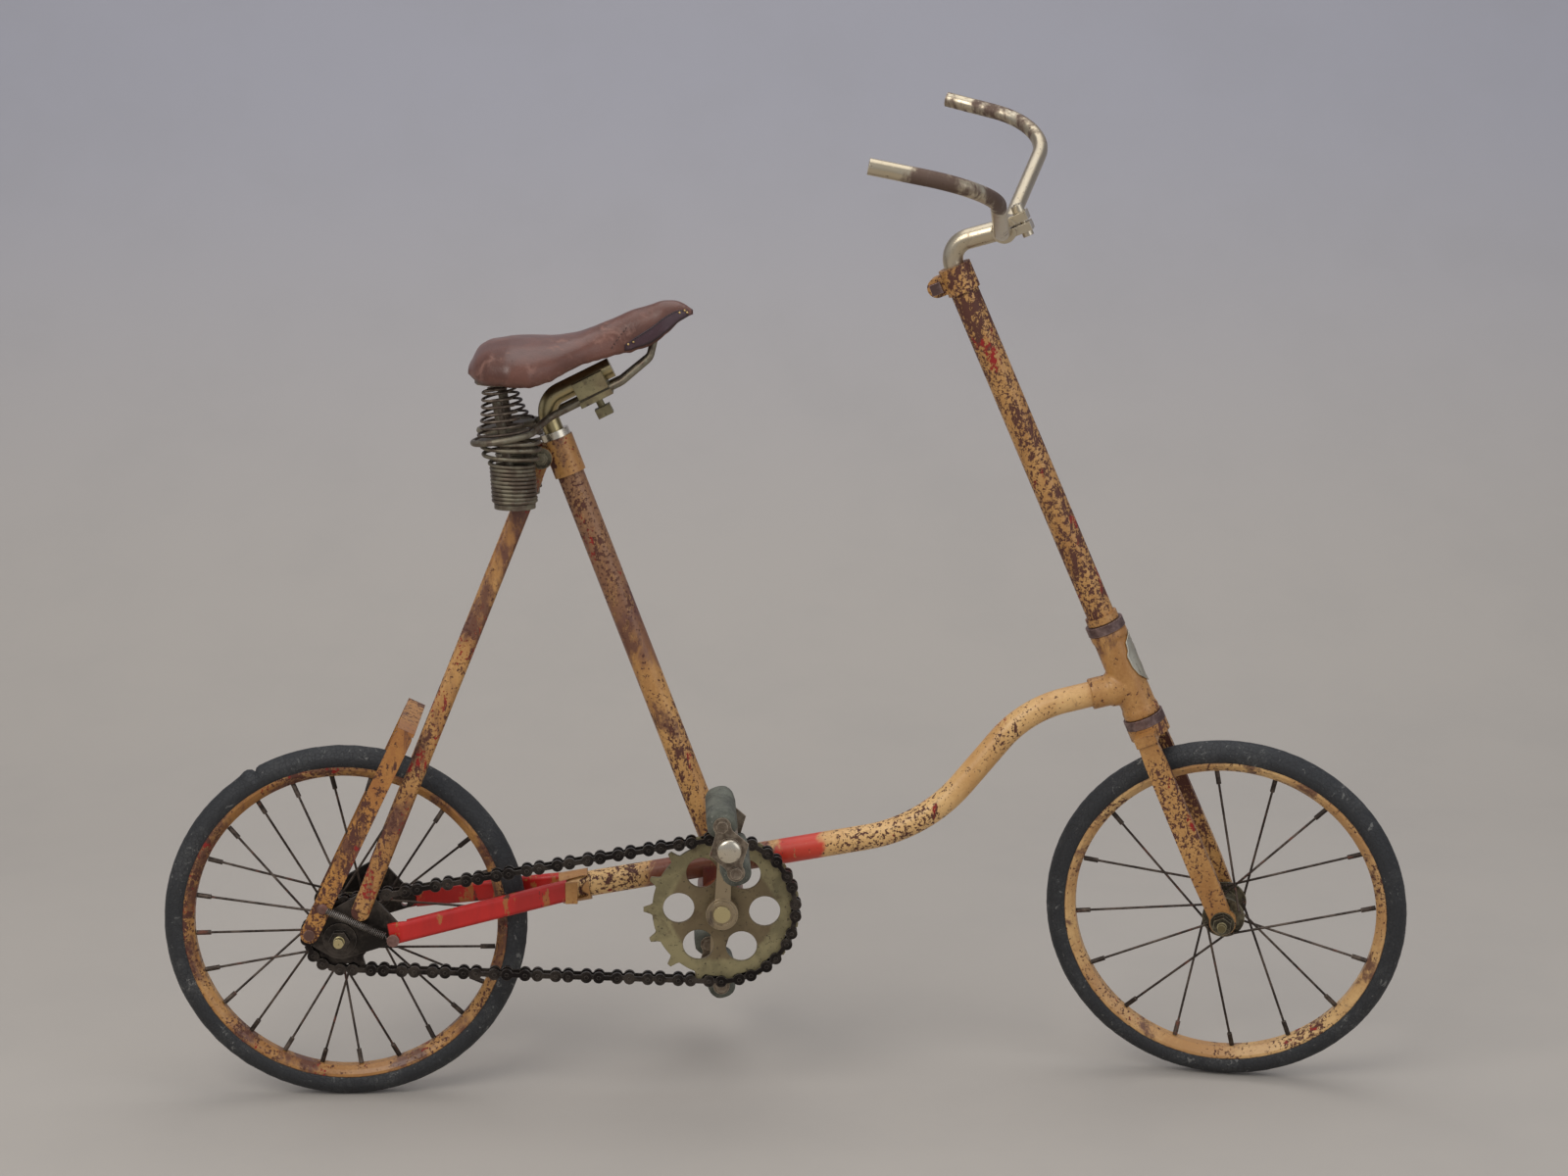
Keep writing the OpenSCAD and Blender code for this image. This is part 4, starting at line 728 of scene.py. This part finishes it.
def rounded_block(width, height, length, corner, crown, rings):
    """Rubber block along +Y with rounded corners, a crowned outer face and soft ends."""
    outline = []
    for sx, sz, first in ((1, 1, 0), (-1, 1, 90), (-1, -1, 180), (1, -1, 270)):
        for i in range(5):
            a = math.radians(first + 90 * i / 4)
            outline.append((sx * (width / 2 - corner) + corner * math.cos(a),
                            sz * (height / 2 - corner) + corner * math.sin(a)))
    full = []
    for (x0, z0), (x1, z1) in zip(outline, outline[1:] + outline[:1]):
        steps = 6 if abs(x1 - x0) > 8 else 3 if abs(z1 - z0) > 6 else 1
        full += [(x0 + (x1 - x0) * t / steps, z0 + (z1 - z0) * t / steps) for t in range(steps)]
    vertices, faces = [], []
    for i in range(rings + 1):
        t = i / rings
        y = length * t
        end = min(y, length - y)
        shrink = 1 - 0.12 * max(0, 1 - end / 3.0) ** 2
        for x, z in full:
            swell = crown * (1 - (2 * x / width) ** 2) if z > 0 else 0
            groove = -0.7 if abs(z) < height / 2 - corner and abs(x) > width / 2 - 0.5 and i % 2 else 0
            vertices.append(((x + math.copysign(groove, x)) * shrink, y, (z + swell) * shrink))
    n = len(full)
    for i in range(rings):
        for k in range(n):
            a, b = i * n + k, i * n + (k + 1) % n
            faces.append((a, b, b + n, a + n))
    faces.append(tuple(reversed(range(n))))
    faces.append(tuple(rings * n + k for k in range(n)))
    return vertices, faces


class BIKE_OT_pedals(bpy.types.Operator):
    """Rubber blocks of the pedals, with their end caps"""

    bl_idname = "bike.pedals"
    bl_label = "Pedals"

    def execute(self, context):
        rubber = pedal_rubber("pedal_rubber")
        bright = plating("cap_plating", (0, 1, 0), 0.15, (0.66, 0.63, 0.56), rough=0.2)
        tilt = Matrix.Rotation(math.radians(-15.8), 3, "Y")
        for side, sign in (("right", -1), ("left", 1)):
            at = (Vector(JOINTS[f"pedal_{side}_spin"]["pos_m"]) - HUB) / MM
            low, high = ((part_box(f"pedal_blocks_{side}")[k] - HUB) / MM for k in (0, 1))
            inner = min(abs(low.y), abs(high.y))
            length = abs(high.y - low.y)
            blocks = []
            for up in (1, -1):
                vertices, faces = rounded_block(23.4, 18.6, length, 6.5, 3.2, 14)
                turned = []
                for v in vertices:
                    q = Vector((v[0], sign * (inner + v[1]), up * (19.5 + v[2])))
                    turned.append(Vector((at.x, 0, at.z)) + tilt @ q)
                if up * sign < 0:
                    faces = [tuple(reversed(face)) for face in faces]
                blocks.append((turned, faces))
            vertices, faces = join(blocks)
            piece(f"pedal_rubbers_{side}", vertices, faces, rubber, f"pedal_{side}",
                  [f"pedal_blocks_{side}"])
            tip = Vector((at.x, sign * (inner + length + 7.4), at.z))
            vertices, faces = dome(tip, (0, sign, 0), 9.4, 2.6, 6, 28)
            piece(f"pedal_cap_{side}", vertices, faces, bright, f"pedal_{side}")
        return {"FINISHED"}


# Side view of the leather as (x, z), then its half width as (x, share of the widest)
SADDLE_CROWN = ((112, 462), (118, 476), (128, 482), (145, 485), (180, 485), (198, 487.5), (213, 493), (241, 505),
                (266, 513), (278, 512.5), (286, 509), (291, 504.5))
SADDLE_EDGE = ((112, 459), (122, 452), (137, 452), (163, 450), (180, 455), (199, 464), (219, 469), (247, 475),
               (259, 479), (271, 489), (282, 498.5), (291, 502.5))
SADDLE_HALF = ((112, 0.42), (118, 0.66), (128, 0.86), (145, 1), (163, 0.96), (180, 0.78), (198, 0.54),
               (213, 0.38), (230, 0.29), (266, 0.22), (282, 0.14), (291, 0.05))
SADDLE_WIDE = 68.0
LEATHER = 3.6
SADDLE_REAR, SADDLE_NOSE = 112.3, 290.7
PATCH_REAR, PATCH_NOSE = 236, 287
STITCH_R, LACE_R = 0.36, 0.34


def smooth_lookup(table, x, spread=3.0):
    """Linear table, softened over a short stretch."""
    xs, ys = zip(*table)
    return float(np.mean([np.interp(x + d, xs, ys) for d in np.linspace(-spread, spread, 7)]))


def saddle_point(x, q, lift=0.0):
    """Point of the leather's outer face; q runs from 0 at the left edge to 180 at the right."""
    half = smooth_lookup(SADDLE_HALF, x) * SADDLE_WIDE
    low = smooth_lookup(SADDLE_EDGE, x)
    high = smooth_lookup(SADDLE_CROWN, x)
    a = math.radians(q)
    y = half * math.cos(a)
    rise = max(math.sin(a), 0) ** 0.7
    tuck = 1 - 0.05 * (1 - rise) ** 2
    ripple = 0.9 * noise.noise(Vector((x * 0.045, y * 0.05, 3))) * rise
    ragged = 1.1 * noise.noise(Vector((x * 0.16, 7 * math.copysign(1, y), 0))) * (1 - rise) ** 4
    out = Vector((0, math.cos(a), math.sin(a) + 0.2)).normalized()
    return Vector((x, y * tuck, low + (high - low) * rise + ripple + ragged)) + out * lift


class BIKE_OT_saddle(bpy.types.Operator):
    """Leather top with its nose patch, stitches, rivets and springs"""

    bl_idname = "bike.saddle"
    bl_label = "Saddle"

    def execute(self, context):
        self.leather()
        self.patch()
        self.springs()
        return {"FINISHED"}

    def leather(self):
        rows, columns = 110, 61
        grid, inward = [], []
        for i in range(rows):
            x = SADDLE_REAR + (SADDLE_NOSE - SADDLE_REAR) * i / (rows - 1)
            line = [saddle_point(x, 180 * j / (columns - 1)) for j in range(columns)]
            grid.append(line)
        for i in range(rows):
            dirs = []
            for j in range(columns):
                du = grid[min(i + 1, rows - 1)][j] - grid[max(i - 1, 0)][j]
                dv = grid[i][min(j + 1, columns - 1)] - grid[i][max(j - 1, 0)]
                normal = du.cross(dv).normalized()
                half = smooth_lookup(SADDLE_HALF, grid[i][j].x) * SADDLE_WIDE
                thin = min(1.0, half / 12)
                ends = min(1.0, 0.25 + min(i, rows - 1 - i) / 4)
                facing = -1 if normal.z > 0 or abs(normal.y) > 0.5 else 1
                dirs.append(normal * (facing * thin * ends))
            inward.append(dirs)
        for line, dirs in zip(grid, inward):
            for k, (point, d) in enumerate(zip(line, dirs)):
                target = Vector((point.x, 0, smooth_lookup(SADDLE_EDGE, point.x) - 4))
                if d.dot(target - point) < 0:
                    dirs[k] = -d
        vertices, faces = sheet(grid, LEATHER, inward)
        piece("saddle_leather", vertices, faces, hide("saddle_hide", scuffs=0.85), "saddle_top",
              ["saddle_top"])

    def patch(self):
        """Dark patches sewn over both sides of the nose, with stitches, rivets and a lace."""
        dark = hide("patch_hide", (0.085, 0.035, 0.045), (0.19, 0.12, 0.15), (0.02, 0.01, 0.012), 0.8)
        thread = hide("waxed_thread", (0.030, 0.018, 0.016), (0.10, 0.07, 0.06), (0.01, 0.008, 0.008), 0.2)
        brass = plating("rivet_brass", (0, 1, 0), 0.3, (0.62, 0.45, 0.20), (0.12, 0.06, 0.03), 0.3)
        patches, stitches, rivets = [], [], []
        count = sizes().stitch_count
        for side in (0, 1):
            def at(x, q, lift):
                return saddle_point(x, q if side == 0 else 180 - q, lift)

            grid, inward = [], []
            for i in range(26):
                x = PATCH_REAR + (PATCH_NOSE - PATCH_REAR) * i / 25
                top = 5 + 22 * min(1, (i + 0.5) / 20) ** 0.8
                line = [at(x, 1.5 + (top - 1.5) * j / 10, 0.9) for j in range(11)]
                grid.append(line)
                inward.append([Vector((0, -math.copysign(0.6, p.y), -0.8)) for p in line])
            part = sheet(grid, 1.0, inward)
            if side:
                part = (part[0], [tuple(reversed(face)) for face in part[1]])
            patches.append(part)
            for i in range(count):
                t = (i + 0.5) / count
                x = 238 + 46 * t
                row = 25 * (x - PATCH_REAR) / (PATCH_NOSE - PATCH_REAR)
                top = 5 + 22 * min(1, (row + 0.5) / 20) ** 0.8
                q = top - 2.0
                a, b = at(x - 0.55, q, 1.25), at(x + 0.55, q, 1.25)
                middle = a.lerp(b, 0.5) + (b - a).orthogonal().normalized() * 0.01
                stitches.append(wire([a, middle, b], STITCH_R, 6, 1))
            for x, q in ((280, 18), (284, 23), (286, 14), (243, 7), (239, 6)):
                p = at(x, q, 1.5)
                rivets.append(dome(p, (0.2, 1 if side == 0 else -1, 0.5), 1.0, 0.7, 3, 10))
            for k in range(7):
                x = 226 + 1.9 * k
                a, b = at(x - 0.5, 6.5 + 4 * k, 0.5), at(x + 0.5, 9 + 4 * k, 0.5)
                stitches.append(wire([a, b], LACE_R, 6, 1))
        for name, parts, material, slot in (
            ("nose_patches", patches, dark, "saddle_leather"),
            ("nose_stitches", stitches, thread, "saddle_leather"),
            ("nose_rivets", rivets, brass, "brass_plate"),
        ):
            vertices, faces = join(parts)
            piece(name, vertices, faces, material, "saddle_top")

    def springs(self):
        """One wire on each side: a close-wound coil, two wide loops and a cone up to the cantle."""
        brown = steel("spring_brown", (0.085, 0.060, 0.045), (0.25, 0.20, 0.15), 0.3, 0.42, 0.7)
        lean = math.radians(9.1)  # backward tilt of the cones
        up = Vector((-math.sin(lean), 0, math.cos(lean)))
        ahead = Vector((math.cos(lean), 0, math.sin(lean)))
        cones, coils = [], []
        for y in (-38.0, 38.0):
            foot = Vector((147.8, y, 357))
            turn = 1 if y > 0 else -1

            def spot(h, r, a):
                return foot + up * h + r * (math.cos(a) * ahead + math.sin(a) * turn * Vector((0, 1, 0)))

            heights = ((0, 55.0, 21.0), (1.2, 61, 16.5), (6.6, 90.4, 9.4), (7.4, 91.4, 9.0))
            steps = 200
            path = []
            turns, hs, rs = zip(*heights)
            for i in range(steps + 1):
                t = turns[-1] * i / steps
                h, r = float(np.interp(t, turns, hs)), float(np.interp(t, turns, rs))
                path.append(spot(h, r, 2 * math.pi * t))
            cones.append(wire(path, sizes().spring_wire / MM / 2, 8))
            steps = 400
            path = []
            rise = ((0, 1.0, 16.8), (0.3, 1.0, 16.8), (9.3, 29.8, 16.8), (10.0, 34.5, 20.5), (10.7, 40, 23.0),
                    (11.6, 45.5, 23.2), (12.4, 48.6, 21.5))
            turns, hs, rs = zip(*rise)
            for i in range(steps + 1):
                t = turns[-1] * i / steps
                h, r = float(np.interp(t, turns, hs)), float(np.interp(t, turns, rs))
                a = 2 * math.pi * t
                path.append(foot + Vector((r * math.cos(a) - 0.05 * h, r * turn * math.sin(a), h)))
            coils.append(wire(path, sizes().coil_wire / MM / 2, 10))
        vertices, faces = join(cones)
        piece("cone_springs", vertices, faces, brown, "saddle_frame", ["saddle_springs"])
        vertices, faces = join(coils)
        piece("close_coils", vertices, faces, verdigris("green_coil"), "saddle_frame",
              ["saddle_coils"])


class BIKE_OT_lug(bpy.types.Operator):
    """Head lug as one smooth casting"""

    bl_idname = "bike.lug"
    bl_label = "Head lug"

    def execute(self, context):
        copy = bpy.data.objects.new("lug_blank", NODES["head_lug"].data.copy())
        copy.matrix_world = NODES["head_lug"].matrix_world
        context.scene.collection.objects.link(copy)
        fuse = copy.modifiers.new("fuse", "REMESH")
        fuse.mode, fuse.voxel_size = "VOXEL", 0.9 * MM
        soften = copy.modifiers.new("soften", "SMOOTH")
        soften.factor, soften.iterations = 0.5, 14
        cast = copy.evaluated_get(context.evaluated_depsgraph_get()).to_mesh()
        vertices = [copy.matrix_world @ v.co for v in cast.vertices]
        faces = [tuple(face.vertices) for face in cast.polygons]
        bpy.data.objects.remove(copy)
        piece("lug_casting", vertices, faces, enamel("casting_enamel", STEERING, 0.85, 0.5, 0.45), "frame",
              ["head_lug"], shift=False)
        return {"FINISHED"}


class BIKE_OT_stand_spring(bpy.types.Operator):
    """Tension spring from the stand to the chain stay"""

    bl_idname = "bike.stand_spring"
    bl_label = "Stand spring"

    def execute(self, context):
        low = (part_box("stand_spring")[0] - HUB) / MM
        y = low.y + 3.3
        a, b = Vector((-12.5, y, 27.5)), Vector((38.5, y, 3))
        along = (b - a).normalized()
        across, side = Vector((0, 1, 0)), Vector((0, 1, 0)).cross(along)
        first, last = a + 3 * along, b - 2 * along
        turns = 34
        path = [a - 2 * along, a + 0.5 * along + 1.2 * side]
        for i in range(turns * 12 + 1):
            t = i / (turns * 12)
            q = 2 * math.pi * turns * t
            path.append(first.lerp(last, t) + 2.7 * (math.cos(q) * across + math.sin(q) * side))
        path += [b + 1.2 * side, b + 4 * along, b + 6.5 * along - 1.5 * side]
        vertices, faces = wire(path, sizes().stand_wire / MM / 2, 6)
        piece("tension_spring", vertices, faces,
              steel("spring_bright", (0.10, 0.085, 0.075), (0.42, 0.38, 0.34), 0.25, 0.35, 0.85), "stand",
              ["stand_spring"])
        vertices, faces = dome(a - 1.5 * across, -across, 4.6, 1.8, 4, 16)
        piece("spring_stud", vertices, faces,
              steel("stud_rust", (0.13, 0.065, 0.05), (0.27, 0.15, 0.12), 0.6, 0.5, 0.4), "stand")
        return {"FINISHED"}


class BIKE_OT_badge(bpy.types.Operator):
    """Embossed plain shield on the head lug"""

    bl_idname = "bike.badge"
    bl_label = "Head badge"

    def execute(self, context):
        low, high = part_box("head_badge")
        middle = (low + high) / 2
        axis_point = FRONT_HUB + STEERING * (middle - FRONT_HUB).dot(STEERING)
        forward = Vector((0, 1, 0)).cross(STEERING).normalized()
        side = STEERING.cross(forward)
        rows, columns = 48, 30
        tall, wide, radius = 46.0, 35.0, 14.65
        grid, inward = [], []
        for i in range(rows):
            v = i / (rows - 1)
            outline = float(np.interp(v, (0, 0.08, 0.22, 0.40, 0.62, 0.70, 0.86, 0.95, 1),
                                      (0.10, 0.42, 0.80, 0.96, 1.0, 0.86, 0.78, 0.42, 0.06)))
            line, dirs = [], []
            for j in range(columns):
                u = 2 * j / (columns - 1) - 1
                a = u * outline * wide / 2 / radius
                s = u * outline
                border = min(1, (1 - abs(u)) * 5) * min(1, v * 9) * min(1, (1 - v) * 9)
                rays = 0.35 * math.cos(9 * math.atan2(s, v - 0.72)) * math.exp(-((v - 0.72) / 0.2) ** 2)
                bars = 0.3 * math.cos(26 * s) * max(0, 1 - abs(v - 0.32) * 6)
                lift = 0.5 + 0.55 * (1 - border) + (rays + bars) * border
                r = radius + 0.35 + lift
                out = math.cos(a) * forward + math.sin(a) * side
                line.append(axis_point + (out * r + STEERING * tall * (v - 0.5)) * MM)
                dirs.append(-out * 0.9 * MM)
            grid.append(line)
            inward.append(dirs)
        vertices, faces = sheet(grid, 1.0, inward)
        silver = plating("badge_silver", STEERING, 0.25, (0.58, 0.57, 0.50), (0.09, 0.08, 0.06), 0.34)
        piece("badge_shield", vertices, faces, silver, "frame", ["head_badge"], shift=False)
        return {"FINISHED"}


OPERATORS = (BIKE_OT_stage, BIKE_OT_paint, BIKE_OT_metal, BIKE_OT_tyres, BIKE_OT_pedals, BIKE_OT_saddle,
             BIKE_OT_lug, BIKE_OT_stand_spring, BIKE_OT_badge)


class BIKE_PT_panel(bpy.types.Panel):
    """Lists the pieces and their settings"""

    bl_idname = "BIKE_PT_panel"
    bl_label = "Trick bicycle"
    bl_space_type = "VIEW_3D"
    bl_region_type = "UI"
    bl_category = "Bicycle"

    def draw(self, context):
        for group in (context.scene.bike_colours, context.scene.bike_sizes):
            for name in group.bl_rna.properties.keys():
                if name not in ("rna_type", "name"):
                    self.layout.prop(group, name)
        for operator in OPERATORS:
            self.layout.operator(operator.bl_idname)


CLASSES = (BikeColours, BikeSizes, *OPERATORS, BIKE_PT_panel)


def register():
    for item in CLASSES:
        bpy.utils.register_class(item)
    bpy.types.Scene.bike_colours = PointerProperty(type=BikeColours)
    bpy.types.Scene.bike_sizes = PointerProperty(type=BikeSizes)


def unregister():
    del bpy.types.Scene.bike_sizes
    del bpy.types.Scene.bike_colours
    for item in reversed(CLASSES):
        bpy.utils.unregister_class(item)


def main():
    register()
    for operator in OPERATORS:
        group, name = operator.bl_idname.split(".")
        getattr(getattr(bpy.ops, group), name)()
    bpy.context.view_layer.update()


if __name__ == "__main__":
    main()
